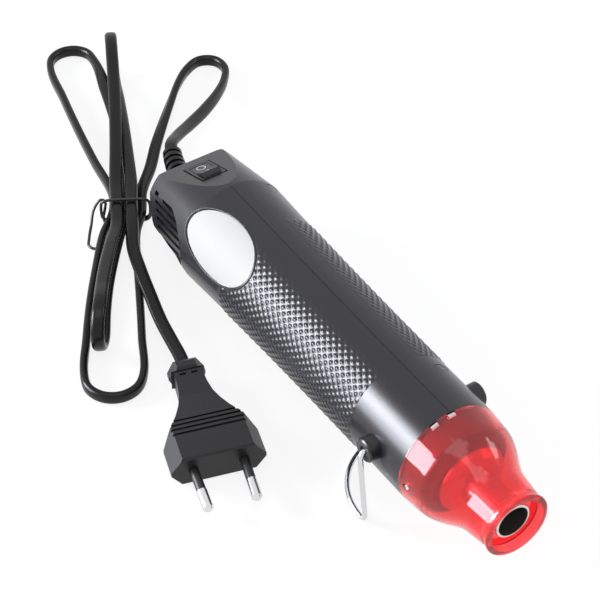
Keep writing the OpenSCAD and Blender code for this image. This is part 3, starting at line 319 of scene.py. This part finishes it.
relief_tip = relief_point(1.0)
relief_way = (relief_tip - relief_point(RELIEF_LAST)).normalized()
plug_way = heading(PLUG_TURN)
plug_face = floor_point(PLUG_FACE[0], PLUG_FACE[1], PLUG_HEIGHT / 2)
plug_entry = plug_face - PLUG_LENGTH * plug_way
passes = [waist_pass(*values) for values in PASSES]
hank = marked(passes[0], Vector((across_waist.x, across_waist.y, FIRST_PASS_LEAN)))
for i, (loop, up, bow_out, bow_back, dip_back, broad_out, broad_back) in enumerate(HANK):
    end = loop_end(loop, up)
    hank += marked(loop_leg(passes[i][-1], end[0], bow_out, 0.0) + end, broad_out)
    leg_back = loop_leg(end[-1], passes[i + 1][0], bow_back, dip_back)
    hank += marked(leg_back + passes[i + 1], broad_back)
out_of_relief = [relief_tip - IN_RELIEF * relief_way, relief_tip + CORD_WIDTH * relief_way]
into_plug = [plug_entry - CORD_WIDTH * plug_way, plug_entry + IN_PLUG * plug_way]
route = (marked(out_of_relief, Vector((-relief_way.y, relief_way.x, 0.0)))
         + rolled(LEAD_ROUTE) + hank + rolled(TAIL_ROUTE)
         + marked(into_plug, heading(PLUG_TURN + 90)))


def smooth_line(stops, steps):
    """Points and broad sides along a curve through the stops, each bend shared by its two sides."""
    ways = []
    for i, (point, _) in enumerate(stops):
        way = Vector()
        if i > 0:
            way += (point - stops[i - 1][0]).normalized()
        if i < len(stops) - 1:
            way += (stops[i + 1][0] - point).normalized()
        ways.append(way.normalized())
    line = []
    for i in range(len(stops) - 1):
        (a, broad_a), (b, broad_b) = stops[i], stops[i + 1]
        reach = (b - a).length
        for k in range(steps):
            t = k / steps
            t2, t3 = t * t, t * t * t
            line.append((
                (2 * t3 - 3 * t2 + 1) * a + (t3 - 2 * t2 + t) * reach * ways[i]
                + (3 * t2 - 2 * t3) * b + (t3 - t2) * reach * ways[i + 1],
                broad_a.lerp(broad_b, t)))
    line.append(stops[-1])
    return line


SAME_POINT = 1e-7


def link_piece(name, mesh, smooth=True):
    for face in mesh.polygons:
        face.use_smooth = smooth
    piece = bpy.data.objects.new(name, mesh)
    bpy.context.collection.objects.link(piece)
    return piece


def new_piece(name, vertices, faces, smooth=True, closed=True):
    """A piece from points and faces; a closed one is joined up and its faces turned outwards."""
    mesh = bpy.data.meshes.new(name)
    mesh.from_pydata([tuple(v) for v in vertices], [], faces)
    if closed:
        form = bmesh.new()
        form.from_mesh(mesh)
        bmesh.ops.remove_doubles(form, verts=form.verts, dist=SAME_POINT)
        bmesh.ops.recalc_face_normals(form, faces=form.faces)
        form.to_mesh(mesh)
        form.free()
    mesh.update()
    return link_piece(name, mesh, smooth)


def ring_faces(rings, sides, start=0, joined=False, capped=False):
    """Faces from ring to ring of points; joined goes on to the first, capped fills both ends."""
    faces = []
    for ring in range(rings if joined else rings - 1):
        here, there = start + ring * sides, start + (ring + 1) % rings * sides
        for k in range(sides):
            m = (k + 1) % sides
            faces.append((here + k, here + m, there + m, there + k))
    if capped:
        last = start + (rings - 1) * sides
        faces.append(tuple(start + k for k in reversed(range(sides))))
        faces.append(tuple(last + k for k in range(sides)))
    return faces


def swept_piece(name, line, section, joined=False):
    """A tube whose section, given as (broad, thick) offsets, follows a line to its end or round."""
    stops = len(line)
    vertices = []
    for i, (point, broad) in enumerate(line):
        if joined:
            before, after = line[i - 1], line[(i + 1) % stops]
        else:
            before, after = line[max(i - 1, 0)], line[min(i + 1, stops - 1)]
        ahead = (after[0] - before[0]).normalized()
        side = (broad - broad.dot(ahead) * ahead).normalized()
        thick = ahead.cross(side)
        vertices += [point + w * side + t * thick for w, t in section]
    faces = ring_faces(stops, len(section), joined=joined, capped=not joined)
    return new_piece(name, vertices, faces)


# How much wider the clouds are than the fine grain, the detail of both, how far the roughness
# strays from its middle and how low it may go, and how strongly the relief shows
CLOUD_SIZE = 12
CLOUD_DETAIL = 2.0
GRAIN_DETAIL = 3.0
GLOSS_SPREAD = 0.03
LEAST_ROUGHNESS = 0.02
RELIEF_STRENGTH = 0.25
MM = 0.001


def finish_material(name, colour, roughness, metallic=0.0, grain=900.0, depth=0.02, spread=0.12,
                    shine=0.5):
    """Cloudy colour, uneven gloss and a relief of some depth in mm, all from noise on the piece."""
    material = bpy.data.materials.new(name)
    material.use_nodes = True
    nodes, links = material.node_tree.nodes, material.node_tree.links
    shader = nodes["Principled BSDF"]
    shader.inputs["Metallic"].default_value = metallic
    shader.inputs["Specular IOR Level"].default_value = shine
    place = nodes.new("ShaderNodeTexCoord")
    fine = nodes.new("ShaderNodeTexNoise")
    fine.inputs["Scale"].default_value = grain
    fine.inputs["Detail"].default_value = GRAIN_DETAIL
    broad = nodes.new("ShaderNodeTexNoise")
    broad.inputs["Scale"].default_value = grain / CLOUD_SIZE
    broad.inputs["Detail"].default_value = CLOUD_DETAIL
    for noise in (fine, broad):
        links.new(place.outputs["Object"], noise.inputs["Vector"])
    tone = nodes.new("ShaderNodeMapRange")
    tone.inputs["To Min"].default_value = 1 - spread
    tone.inputs["To Max"].default_value = 1 + spread
    links.new(broad.outputs["Fac"], tone.inputs["Value"])
    tint = nodes.new("ShaderNodeVectorMath")
    tint.operation = "SCALE"
    tint.inputs[0].default_value = colour
    links.new(tone.outputs["Result"], tint.inputs["Scale"])
    links.new(tint.outputs["Vector"], shader.inputs["Base Color"])
    gloss = nodes.new("ShaderNodeMapRange")
    gloss.inputs["To Min"].default_value = max(roughness - GLOSS_SPREAD, LEAST_ROUGHNESS)
    gloss.inputs["To Max"].default_value = roughness + GLOSS_SPREAD
    links.new(fine.outputs["Fac"], gloss.inputs["Value"])
    links.new(gloss.outputs["Result"], shader.inputs["Roughness"])
    if depth:
        relief = nodes.new("ShaderNodeBump")
        relief.inputs["Strength"].default_value = RELIEF_STRENGTH
        relief.inputs["Distance"].default_value = depth * MM
        links.new(fine.outputs["Fac"], relief.inputs["Height"])
        links.new(relief.outputs["Normal"], shader.inputs["Normal"])
    return material


def dress(piece, material, body="tool"):
    piece.data.materials.clear()
    piece.data.materials.append(material)
    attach(piece, body)


def dress_node(name, material):
    """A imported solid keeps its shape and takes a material."""
    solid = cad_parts[name]
    solid.data.materials.clear()
    solid.data.materials.append(material)


edge_turns = [radians(90 * k / EDGE_STEPS) for k in range(-EDGE_STEPS, EDGE_STEPS + 1)]
sheath_section = []
for side in (1, -1):
    sheath_section += [(side * (EDGE_OFFSET + EDGE_RADIUS * cos(turn)),
                        side * (EDGE_RADIUS - FACE_CROWN) * sin(turn)) for turn in edge_turns]
    sheath_section.append((0.0, side * EDGE_RADIUS))
cord_line = smooth_line(route, CORD_STEPS)
mains_cord = swept_piece("mains_cord", cord_line, sheath_section)
cord_vinyl = finish_material("cord_vinyl", (0.0065, 0.0065, 0.0072), 0.27, grain=1500.0,
                             depth=0.01, spread=0.2, shine=0.26)
dress(mains_cord, cord_vinyl)
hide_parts("cord_lead", "cord_hank", "cord_tail")
dress_node("strain_relief", cord_vinyl)

# The tie that holds the hank: a thin black coated wire, wound one and a half times round the
# waist, with a bead where its ends are twisted and a tail that ends in a small loop.
TIE_DIAMETER = 0.0012
TIE_SIDES = 10
TIE_STEPS = 4
TIE_HALF_WIDTH = 0.0098
TIE_SQUARE = 0.4
TIE_LOW = 0.0007
TIE_ABOVE = 0.0009
TIE_HIGH = HIGH + CORD_THICKNESS / 2 + TIE_ABOVE
TIE_STOPS = 35
TIE_FIRST_TURN = 10
TIE_STOP_TURN = 15
TIE_BACK = 0.001
TIE_PITCH = 0.00006
TIE_TAIL = [(-0.0255, -0.0265, 0.010), (-0.0265, -0.030, 0.007), (-0.022, -0.0345, 0.0025),
            (-0.0175, -0.038, 0.0009), (-0.0135, -0.040, 0.0008), (-0.011, -0.0382, 0.0008),
            (-0.013, -0.0358, 0.0014)]
# A way in which the tie never runs, from which its round section is turned
TIE_SIDE = Vector((0.31, -0.17, 0.94))
BEAD_RADIUS = 0.0014
BEAD_BESIDE = 0.0012
BEAD_HEIGHT = 0.007


def squared(value):
    """Pushes a sine towards its ends, so that a round becomes a rounded rectangle."""
    return (1 if value > 0 else -1) * abs(value) ** TIE_SQUARE


def round_section(radius, sides):
    turns = [2 * pi * k / sides for k in range(sides)]
    return [(radius * cos(turn), radius * sin(turn)) for turn in turns]


tie_stops = []
for i in range(TIE_STOPS):
    turn = radians(TIE_FIRST_TURN - TIE_STOP_TURN * i)
    tie_height = (TIE_HIGH + TIE_LOW) / 2 + (TIE_HIGH - TIE_LOW) / 2 * squared(sin(turn))
    tie_beside = TIE_HALF_WIDTH * squared(cos(turn))
    tie_stops.append(waist_slot(TIE_PITCH * i - TIE_BACK, tie_beside, tie_height))
tie_stops += [floor_point(*place) for place in TIE_TAIL]
tie_line = smooth_line(marked(tie_stops, TIE_SIDE), TIE_STEPS)
tie_wire = swept_piece("tie_wire", tie_line, round_section(TIE_DIAMETER / 2, TIE_SIDES))
tie_coat = finish_material("tie_coat", (0.010, 0.010, 0.011), 0.28, grain=2500.0, depth=0.01)
dress(tie_wire, tie_coat)
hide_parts("cord_tie")
bead_form = bmesh.new()
bmesh.ops.create_icosphere(bead_form, subdivisions=3, radius=BEAD_RADIUS)
bead_mesh = bpy.data.meshes.new("tie_bead")
bead_form.to_mesh(bead_mesh)
bead_form.free()
bead_mesh.transform(Matrix.Translation(waist_slot(0, TIE_HALF_WIDTH + BEAD_BESIDE, BEAD_HEIGHT)))
tie_bead = link_piece("tie_bead", bead_mesh)
dress(tie_bead, tie_coat)

# The plug: one moulding of charcoal vinyl with a flat-topped block and a ribbed neck, and two
# nickel-plated pins, each with a black sleeve over its root.
PLUG_EDGE = 0.0005
SHARPEST_KEPT = radians(25)
plug_vinyl = finish_material("plug_vinyl", (0.018, 0.018, 0.020), 0.38, grain=1400.0,
                             depth=0.05, spread=0.15, shine=0.35)
pin_nickel = finish_material("pin_nickel", (0.72, 0.72, 0.73), 0.16, metallic=1.0, grain=700.0,
                             depth=0.0, spread=0.05)
sleeve_nylon = finish_material("sleeve_nylon", (0.016, 0.016, 0.017), 0.40, grain=1500.0)


def soften(name, radius):
    """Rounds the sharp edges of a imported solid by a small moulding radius."""
    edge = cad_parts[name].modifiers.new("moulding_radius", "BEVEL")
    edge.width = radius
    edge.segments = 2
    edge.limit_method = "ANGLE"
    edge.angle_limit = SHARPEST_KEPT
    edge.harden_normals = False


dress_node("plug_body", plug_vinyl)
soften("plug_body", PLUG_EDGE)
dress_node("plug_pins", pin_nickel)
dress_node("plug_sleeves", sleeve_nylon)

# The body: two halves of dark grey satin plastic, moulded with a round tail, a widest ring and a
# slimmer front. Both flanks of the grip carry a fine diamond knurl that fades out above and below.
KNURL_START = 0.057
KNURL_END = 0.144
KNURL_PITCH = 0.00372
KNURL_TURNS = 47
KNURL_DEPTH = 0.0004
KNURL_LIFT = 0.00003
KNURL_SAMPLES = 8
SMOOTH_STRIP = 18.0
FADE_TURN = 15.0
FADE_SAMPLES = 5
BORDER_SAMPLES = 2
BORDER_SINK = 0.00025
LABEL_AT = 0.051
LABEL_TURN = 49.0
LABEL_HALF = (0.020, 0.012)
# Outside the label's oval, as shares of its size: the knurl's edge, its border and its fade
LABEL_CUT = 0.012
LABEL_BORDER = (0.02, 0.03)
LABEL_FADE = (0.03, 0.05)


def round_body(x, angle, radius):
    """A place round the body's axis; angles run from the top, positive towards the label's side."""
    return tool_point(x, -radius * sin(radians(angle)), radius * cos(radians(angle)))


def eased(value):
    value = min(max(value, 0.0), 1.0)
    return value * value * (3 - 2 * value)


def label_margin(x, angle, radius):
    """Distance outside the label's oval, as a share of its size; negative inside."""
    u = (x - LABEL_AT) / LABEL_HALF[0]
    v = radius * sin(radians(angle - LABEL_TURN)) / LABEL_HALF[1]
    return (u * u + v * v) ** 0.5 - 1


def knurled_flank(name, side):
    """A sheet of studs over one flank, sunk into the case along its border."""
    step = KNURL_PITCH / KNURL_SAMPLES
    turn = 360 / KNURL_TURNS / KNURL_SAMPLES
    rows = round((KNURL_END - KNURL_START) / step)
    columns = round((180 - 2 * SMOOTH_STRIP) / turn)
    vertices, margins = [], []
    for i in range(rows + 1):
        x = KNURL_START + i * step
        for j in range(columns + 1):
            angle = SMOOTH_STRIP + j * turn
            u, v = i / KNURL_SAMPLES, j / KNURL_SAMPLES
            stud = (cos(pi * (u + v)) * cos(pi * (u - v))) ** 2
            fade = eased((angle - SMOOTH_STRIP) / FADE_TURN)
            fade *= eased((180 - SMOOTH_STRIP - angle) / FADE_TURN)
            fade *= eased(i / FADE_SAMPLES) * eased((rows - i) / FADE_SAMPLES)
            radius = body_radius(x)
            margin = label_margin(x, angle, radius) if side > 0 else 1.0
            margins.append(margin)
            fade *= eased((margin - LABEL_FADE[0]) / LABEL_FADE[1])
            inside = min(i, rows - i, j, columns - j) / BORDER_SAMPLES
            inside = min(1.0, inside, max(0.0, margin - LABEL_BORDER[0]) / LABEL_BORDER[1])
            height = KNURL_LIFT + KNURL_DEPTH * stud * fade - BORDER_SINK * (1 - inside)
            vertices.append(round_body(x, side * angle, radius + height))
    faces = []
    for i in range(rows):
        for j in range(columns):
            a = i * (columns + 1) + j
            corners = (a, a + 1, a + columns + 2, a + columns + 1)
            if min(margins[k] for k in corners) > LABEL_CUT:
                faces.append(corners if side > 0 else corners[::-1])
    return new_piece(name, vertices, faces, closed=False)


case_plastic = finish_material("case_plastic", (0.028, 0.0272, 0.035), 0.26, grain=1100.0,
                               depth=0.006, spread=0.08, shine=0.4)
for half in ("case_right", "case_left"):
    dress_node(half, case_plastic)
for flank_name, side in (("knurl_right", 1), ("knurl_left", -1)):
    flank = knurled_flank(flank_name, side)
    dress(flank, case_plastic)

# The parting lines: the two halves of the body meet along its top and its underside. The hairline
# gap between them shows dark, from the switch's facet and from the tail forward to the flange.
SEAM_TOP_FROM = 0.0305
SEAM_BOTTOM_FROM = 0.006
SEAM_SHORT = 0.0005
SEAM_HALF = 0.00018
SEAM_LIFT = 0.00004
SEAM_PARTS = 60


def parting_line(name, angle, start):
    """A thin closed strip laid on the body, with its width round the body."""
    vertices = []
    for i in range(SEAM_PARTS + 1):
        x = start + (BODY_LENGTH - SEAM_SHORT - start) * i / SEAM_PARTS
        radius = body_radius(x)
        turn = degrees(SEAM_HALF / radius)
        for side, lift in ((-1, SEAM_LIFT), (1, SEAM_LIFT), (1, -SEAM_LIFT), (-1, -SEAM_LIFT)):
            vertices.append(round_body(x, angle + side * turn, radius + lift))
    faces = ring_faces(SEAM_PARTS + 1, 4, capped=True)
    return new_piece(name, vertices, faces, smooth=False)


seam_shadow = finish_material("seam_shadow", (0.006, 0.006, 0.007), 0.5, depth=0.0, shine=0.3)
seam_top = parting_line("seam_top", 0.0, SEAM_TOP_FROM)
seam_bottom = parting_line("seam_bottom", 180.0, SEAM_BOTTOM_FROM)
for seam in (seam_top, seam_bottom):
    dress(seam, seam_shadow)

# The label: a blank white oval of satin foil, glued into a shallow recess on the near flank. The
# case's plastic stands up round the recess as a narrow edge.
RIM_OUTSIDE = 1.03
RIM_RADIUS = 0.0003
RIM_LIFT = 0.00002
RIM_STOPS = 96
RIM_SIDES = 8
label_foil = finish_material("label_foil", (0.90, 0.90, 0.895), 0.60, grain=600.0,
                             depth=0.005, spread=0.015, shine=0.12)
dress_node("label_plate", label_foil)
rim_line = []
for i in range(RIM_STOPS):
    turn = 2 * pi * i / RIM_STOPS
    rim_x = LABEL_AT + LABEL_HALF[0] * RIM_OUTSIDE * cos(turn)
    rim_beside = LABEL_HALF[1] * RIM_OUTSIDE * sin(turn)
    rim_angle = LABEL_TURN + degrees(rim_beside / body_radius(rim_x))
    outward = round_body(0, rim_angle, 1.0) - round_body(0, rim_angle, 0.0)
    rim_line.append((round_body(rim_x, rim_angle, body_radius(rim_x) + RIM_LIFT), outward))
rim_section = round_section(RIM_RADIUS, RIM_SIDES)
label_rim = swept_piece("label_rim", rim_line, rim_section, joined=True)
dress(label_rim, case_plastic)

# The case screws: four zinc-plated screws, driven from the far side, draw the halves together. A
# small round plug of the case's plastic closes the hole over each screw, almost flush.
# Each screw's place along the body, and above or below its axis
SCREW_PLACES = ((0.035, 0.017), (0.035, -0.017), (0.150, 0.0166), (0.150, -0.0166))
SCREW_PLUG_RADIUS = 0.00195
SCREW_PLUG_SIDES = 24
# From the middle of a plug's face to its back: share of its radius, depth under the case's skin
SCREW_PLUG_OUTLINE = (
    (0.0, 0.00012), (0.5, 0.0001), (0.85, 0.00008), (1.0, 0.0002), (1.0, 0.001), (0.0, 0.001))
plug_vertices, plug_faces = [], []
for screw_x, screw_z in SCREW_PLACES:
    plug_faces += ring_faces(len(SCREW_PLUG_OUTLINE), SCREW_PLUG_SIDES, start=len(plug_vertices))
    for share, sunk in SCREW_PLUG_OUTLINE:
        for k in range(SCREW_PLUG_SIDES):
            turn = 2 * pi * k / SCREW_PLUG_SIDES
            x = screw_x + share * SCREW_PLUG_RADIUS * cos(turn)
            z = screw_z + share * SCREW_PLUG_RADIUS * sin(turn)
            radius = body_radius(x) - sunk
            plug_vertices.append(tool_point(x, (radius * radius - z * z) ** 0.5, z))
screw_plugs = new_piece("screw_plugs", plug_vertices, plug_faces)
dress(screw_plugs, case_plastic)
case_zinc = finish_material("case_zinc", (0.52, 0.52, 0.53), 0.34, metallic=1.0, grain=500.0,
                            depth=0.0)
dress_node("case_screws", case_zinc)

# The switch: a small rocker in a thin black frame, clipped into the sloping facet over the tail.
# A printed ring marks off on the pressed half and a dash marks on, in white.
SWITCH_AT = 0.0128
ROCKER_SWING = radians(20)
ROCKER_LEVEL = 0.00012
ROCKER_EDGE = 0.00025
VALLEY_AT = -0.00027
# The ring: its middle, radius and line. The dash: where it starts and ends, and its width
MARK_RING = (-0.0035, 0.00172, 0.00038)
MARK_DASH = (0.0015, 0.0039, 0.00045)
DASH_CORE = 0.05
MARK_HEIGHT = 0.00004
MARK_SIDES = 40


def facet_point(u, v, w):
    """A place on the sloping facet: along it, across it and above it, from the rocker's middle."""
    ahead = SWITCH_AT + u * cos(FACET_SLOPE) - w * sin(FACET_SLOPE)
    above = facet_height(SWITCH_AT) + u * sin(FACET_SLOPE) + w * cos(FACET_SLOPE)
    return tool_point(ahead, v, above)


def rocker_top(u):
    return ROCKER_LEVEL + max(0.0, u - VALLEY_AT) * sin(ROCKER_SWING) / cos(ROCKER_SWING)


def printed_mark(name, inner, outer):
    """A thin layer of ink between two closed outlines on the rocker's top."""
    vertices = []
    for outline, lift in ((inner, -1), (outer, -1), (outer, 1), (inner, 1)):
        vertices += [facet_point(u, v, rocker_top(u) + lift * MARK_HEIGHT) for u, v in outline]
    faces = ring_faces(4, MARK_SIDES, joined=True)
    return new_piece(name, vertices, faces, smooth=False)


frame_nylon = finish_material("frame_nylon", (0.014, 0.014, 0.016), 0.36, grain=1500.0)
rocker_nylon = finish_material("rocker_nylon", (0.018, 0.019, 0.026), 0.30, grain=1500.0,
                               depth=0.01)
mark_ink = finish_material("mark_ink", (0.72, 0.73, 0.75), 0.45, grain=1500.0, depth=0.0,
                           spread=0.04)
tab_brass = finish_material("tab_brass", (0.62, 0.47, 0.22), 0.30, metallic=1.0, grain=500.0,
                            depth=0.0)
dress_node("switch_frame", frame_nylon)
dress_node("switch_terminals", tab_brass)
dress_node("switch_rocker", rocker_nylon)
soften("switch_rocker", ROCKER_EDGE)
mark_turns = [2 * pi * k / MARK_SIDES for k in range(MARK_SIDES)]
ring_at, ring_radius, ring_line = MARK_RING
ring_inner, ring_outer = [
    [(ring_at + r * cos(a), r * sin(a)) for a in mark_turns]
    for r in (ring_radius - ring_line / 2, ring_radius + ring_line / 2)]
off_mark = printed_mark("off_mark", ring_inner, ring_outer)
dash_from, dash_to, dash_width = MARK_DASH
dash_middle = (dash_from + dash_to) / 2
dash_outer = [(dash_middle + (dash_to - dash_from) / 2 * cos(a),
               dash_width / 2 * squared(sin(a)) if sin(a) else 0.0) for a in mark_turns]
dash_inner = [(dash_middle + (u - dash_middle) * DASH_CORE, v * DASH_CORE) for u, v in dash_outer]
on_mark = printed_mark("on_mark", dash_inner, dash_outer)
for mark in (off_mark, on_mark):
    dress(mark, mark_ink, body="rocker")

# Inside the body: the cord clamp, the motor's end cap and ribbed ring and the fan's duct are dark
# mouldings, the rectifier board is green laminate, the motor is plated steel, and the fan is a
# white nylon wheel pressed on its shaft.
duct_plastic = finish_material("duct_plastic", (0.06, 0.06, 0.065), 0.5, depth=0.03)
for moulding in ("cord_clamp", "motor_end_cap", "motor_mount", "fan_shroud"):
    dress_node(moulding, duct_plastic)
dress_node("inner_cable", cord_vinyl)
board_laminate = finish_material("board_laminate", (0.04, 0.14, 0.07), 0.45, grain=1200.0,
                                 depth=0.01, spread=0.2)
dress_node("rectifier_board", board_laminate)
motor_plate = finish_material("motor_plate", (0.50, 0.50, 0.52), 0.32, metallic=1.0, grain=600.0,
                              depth=0.0)
for steel in ("motor_can", "motor_shaft"):
    dress_node(steel, motor_plate)
fan_nylon = finish_material("fan_nylon", (0.72, 0.72, 0.69), 0.5, spread=0.05)
dress_node("fan_impeller", fan_nylon)

# The heater: a drawn steel tube with a rounded shoulder and a slim outlet, lined with mica, with
# the coil on a mica cross, a thermostat, a thermal fuse and leads in red sleeves.
tube_steel = finish_material("tube_steel", (0.62, 0.61, 0.60), 0.24, metallic=1.0, grain=260.0,
                             spread=0.10)
dress_node("heater_tube", tube_steel)
mica_sheet = finish_material("mica_sheet", (0.50, 0.42, 0.27), 0.42, grain=400.0, depth=0.03,
                             spread=0.25)
for mica in ("mica_liner", "mica_cross"):
    dress_node(mica, mica_sheet)
coil_alloy = finish_material("coil_alloy", (0.34, 0.31, 0.29), 0.45, metallic=1.0, depth=0.0,
                             spread=0.2)
dress_node("heating_coil", coil_alloy)
dress_node("thermostat", tab_brass)
dress_node("thermal_fuse", case_zinc)
lead_sleeve = finish_material("lead_sleeve", (0.36, 0.03, 0.025), 0.5)
dress_node("heater_leads", lead_sleeve)

# The nozzle: a flange of black plastic closes the body, and a guard of clear red plastic, moulded
# thin with a sloping shoulder and a rolled lip, keeps fingers off the hot tube.
GUARD_CLEARNESS = 0.89
GUARD_IOR = 1.49
GUARD_CLOUDS = 120.0
GUARD_TINTS = ((1.0, 0.095, 0.105), (1.0, 0.125, 0.14))
GUARD_ROUGHNESS = (0.03, 0.08)
LAMP_THROUGH_GUARD = (1.0, 0.35, 0.38)
flange_plastic = finish_material("flange_plastic", (0.022, 0.020, 0.020), 0.42, depth=0.03)
dress_node("front_flange", flange_plastic)
guard_clear = bpy.data.materials.new("guard_clear")
guard_clear.use_nodes = True
tree = guard_clear.node_tree
clear = tree.nodes["Principled BSDF"]
clear.inputs["Transmission Weight"].default_value = GUARD_CLEARNESS
clear.inputs["IOR"].default_value = GUARD_IOR
clouds = tree.nodes.new("ShaderNodeTexNoise")
clouds.inputs["Scale"].default_value = GUARD_CLOUDS
place = tree.nodes.new("ShaderNodeTexCoord")
tree.links.new(place.outputs["Object"], clouds.inputs["Vector"])
guard_tint = tree.nodes.new("ShaderNodeMix")
guard_tint.data_type = "RGBA"
guard_tint.inputs[6].default_value = (*GUARD_TINTS[0], 1.0)
guard_tint.inputs[7].default_value = (*GUARD_TINTS[1], 1.0)
tree.links.new(clouds.outputs["Fac"], guard_tint.inputs[0])
tree.links.new(guard_tint.outputs[2], clear.inputs["Base Color"])
guard_gloss = tree.nodes.new("ShaderNodeMapRange")
guard_gloss.inputs["To Min"].default_value = GUARD_ROUGHNESS[0]
guard_gloss.inputs["To Max"].default_value = GUARD_ROUGHNESS[1]
tree.links.new(clouds.outputs["Fac"], guard_gloss.inputs["Value"])
tree.links.new(guard_gloss.outputs["Result"], clear.inputs["Roughness"])
lamp_light = tree.nodes.new("ShaderNodeBsdfTransparent")
lamp_light.inputs["Color"].default_value = (*LAMP_THROUGH_GUARD, 1.0)
lamp_path = tree.nodes.new("ShaderNodeLightPath")
let_through = tree.nodes.new("ShaderNodeMixShader")
tree.links.new(lamp_path.outputs["Is Shadow Ray"], let_through.inputs[0])
tree.links.new(clear.outputs[0], let_through.inputs[1])
tree.links.new(lamp_light.outputs[0], let_through.inputs[2])
tree.links.new(let_through.outputs[0], tree.nodes["Material Output"].inputs["Surface"])
dress_node("nozzle_guard", guard_clear)

# The guard's fixings: four nylon clip hooks that stand in the slots at its seam, and a peg in the
# round hole on each side. They snap in from inside and hold the guard to the flange. Their
# near-white colour is a painted highlight, standing in for the bright glint in the slots and round
# the holes.
HOOK_TURNS = (0, 20, 180, 200)
HOOK_HALF_WIDTH = 0.0014
# The outline of a hook, as places in front of the seam and their distance from the axis
HOOK_OUTLINE = (
    (0.0003, 0.0193), (0.0003, 0.0206), (0.0011, 0.0207), (0.0019, 0.0200), (0.0019, 0.0193))
PEG_AT = 0.0044
PEG_TURN = 89
PEG_SIDES = 24
# The outline of a peg, as radius and distance from the axis, with a dimple in its outer face
PEG_OUTLINE = (
    (0.0, 0.0186), (0.00105, 0.0186), (0.00105, 0.0204), (0.0009, 0.0206), (0.0006, 0.0206),
    (0.0005, 0.0203), (0.0, 0.0203))
hook_vertices, hook_faces = [], []
for hook_turn in HOOK_TURNS:
    hook_faces += ring_faces(2, len(HOOK_OUTLINE), start=len(hook_vertices), capped=True)
    for beside in (-HOOK_HALF_WIDTH, HOOK_HALF_WIDTH):
        for forward, radius in HOOK_OUTLINE:
            turn = hook_turn + degrees(beside / radius)
            hook_vertices.append(round_body(BODY_LENGTH + forward, turn, radius))
guard_hooks = new_piece("guard_hooks", hook_vertices, hook_faces, smooth=False)
along_body = tool_point(1.0, 0.0, 0.0) - tool_point(0.0, 0.0, 0.0)
peg_vertices, peg_faces = [], []
for side in (-1, 1):
    peg_faces += ring_faces(len(PEG_OUTLINE), PEG_SIDES, start=len(peg_vertices))
    middle = round_body(BODY_LENGTH + PEG_AT, side * PEG_TURN, 0.0)
    outward = (round_body(BODY_LENGTH + PEG_AT, side * PEG_TURN, 1.0) - middle).normalized()
    around = side * outward.cross(along_body)
    for radius, height in PEG_OUTLINE:
        for k in range(PEG_SIDES):
            turn = 2 * pi * k / PEG_SIDES
            spoke = cos(turn) * along_body + sin(turn) * around
            peg_vertices.append(middle + height * outward + radius * spoke)
guard_pegs = new_piece("guard_pegs", peg_vertices, peg_faces)
# The fixings' near-white colour is a painted highlight for the glint in the slots and holes
fixing_painted_glint = finish_material("fixing_painted_glint", (0.90, 0.85, 0.85), 0.35, depth=0.0, spread=0.04)
for fixing in (guard_hooks, guard_pegs):
    dress(fixing, fixing_painted_glint)

# The stand: one bright wire, bent into two legs and a bow that lies on the table, with its ends
# sprung into black bushes on both sides of the body. It folds forward over the nozzle.
WIRE_RADIUS = 0.001
WIRE_SIDES = 16
PIVOT_AT = 0.1565
PIVOT_UP = 0.003
LEG_BESIDE = 0.026
LEG_LEAN = radians(8.3)
WIRE_BEND = 0.003
WIRE_END = 0.0178
WIRE_SHORT = 0.0015
# A way in which the wire never runs, from which its round section is turned
WIRE_SIDE = Vector((0.9, 0.1, 0.42))
BOW_START = radians(5)
HEEL_STEPS, FOOT_STEPS, BOW_STEPS = 8, 10, 20
pivot = tool_point(PIVOT_AT, 0.0, PIVOT_UP)
foot_at = pivot.x + (pivot.z - WIRE_RADIUS) * sin(LEG_LEAN) / cos(LEG_LEAN)
foot_turn = pi / 2 + LEG_LEAN
foot_bend = WIRE_BEND * sin(foot_turn / 2) / cos(foot_turn / 2)
bow_at = foot_at - foot_bend
down_leg = Vector((sin(LEG_LEAN), 0.0, -cos(LEG_LEAN)))
ahead, aside, down = Vector((1.0, 0.0, 0.0)), Vector((0.0, 1.0, 0.0)), Vector((0.0, 0.0, -1.0))


def wire_bend(centre, first, second, radius, start, stop, count):
    """An arc of the wire that runs from its first direction towards its second."""
    turns = [start + (stop - start) * i / count for i in range(count + 1)]
    return [centre + radius * (cos(a) * first + sin(a) * second) for a in turns]


half_wire = [Vector((pivot.x, WIRE_END, pivot.z)),
             Vector((pivot.x, LEG_BESIDE - WIRE_BEND - WIRE_SHORT, pivot.z))]
half_wire += wire_bend(pivot + (LEG_BESIDE - WIRE_BEND) * aside + WIRE_BEND * down_leg,
                       -down_leg, aside, WIRE_BEND, 0.0, pi / 2, HEEL_STEPS)
half_wire += wire_bend(Vector((bow_at, LEG_BESIDE, WIRE_RADIUS + WIRE_BEND)),
                       down, ahead, WIRE_BEND, foot_turn, 0.0, FOOT_STEPS)
half_wire += wire_bend(Vector((bow_at, 0.0, WIRE_RADIUS)),
                       aside, -ahead, LEG_BESIDE, BOW_START, pi / 2, BOW_STEPS)
other_half = [Vector((point.x, -point.y, point.z)) for point in reversed(half_wire[:-1])]
wire_line = marked(half_wire + other_half, WIRE_SIDE)
bent_wire = swept_piece("bent_wire", wire_line, round_section(WIRE_RADIUS, WIRE_SIDES))
wire_nickel = finish_material("wire_nickel", (0.66, 0.67, 0.68), 0.14, metallic=1.0, grain=500.0,
                              depth=0.0, spread=0.06)
dress(bent_wire, wire_nickel, body="stand")
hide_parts("stand_wire")
bush_nylon = finish_material("bush_nylon", (0.012, 0.012, 0.013), 0.30, grain=1500.0, depth=0.01)
for bush in ("stand_boss_right", "stand_boss_left"):
    dress_node(bush, bush_nylon)
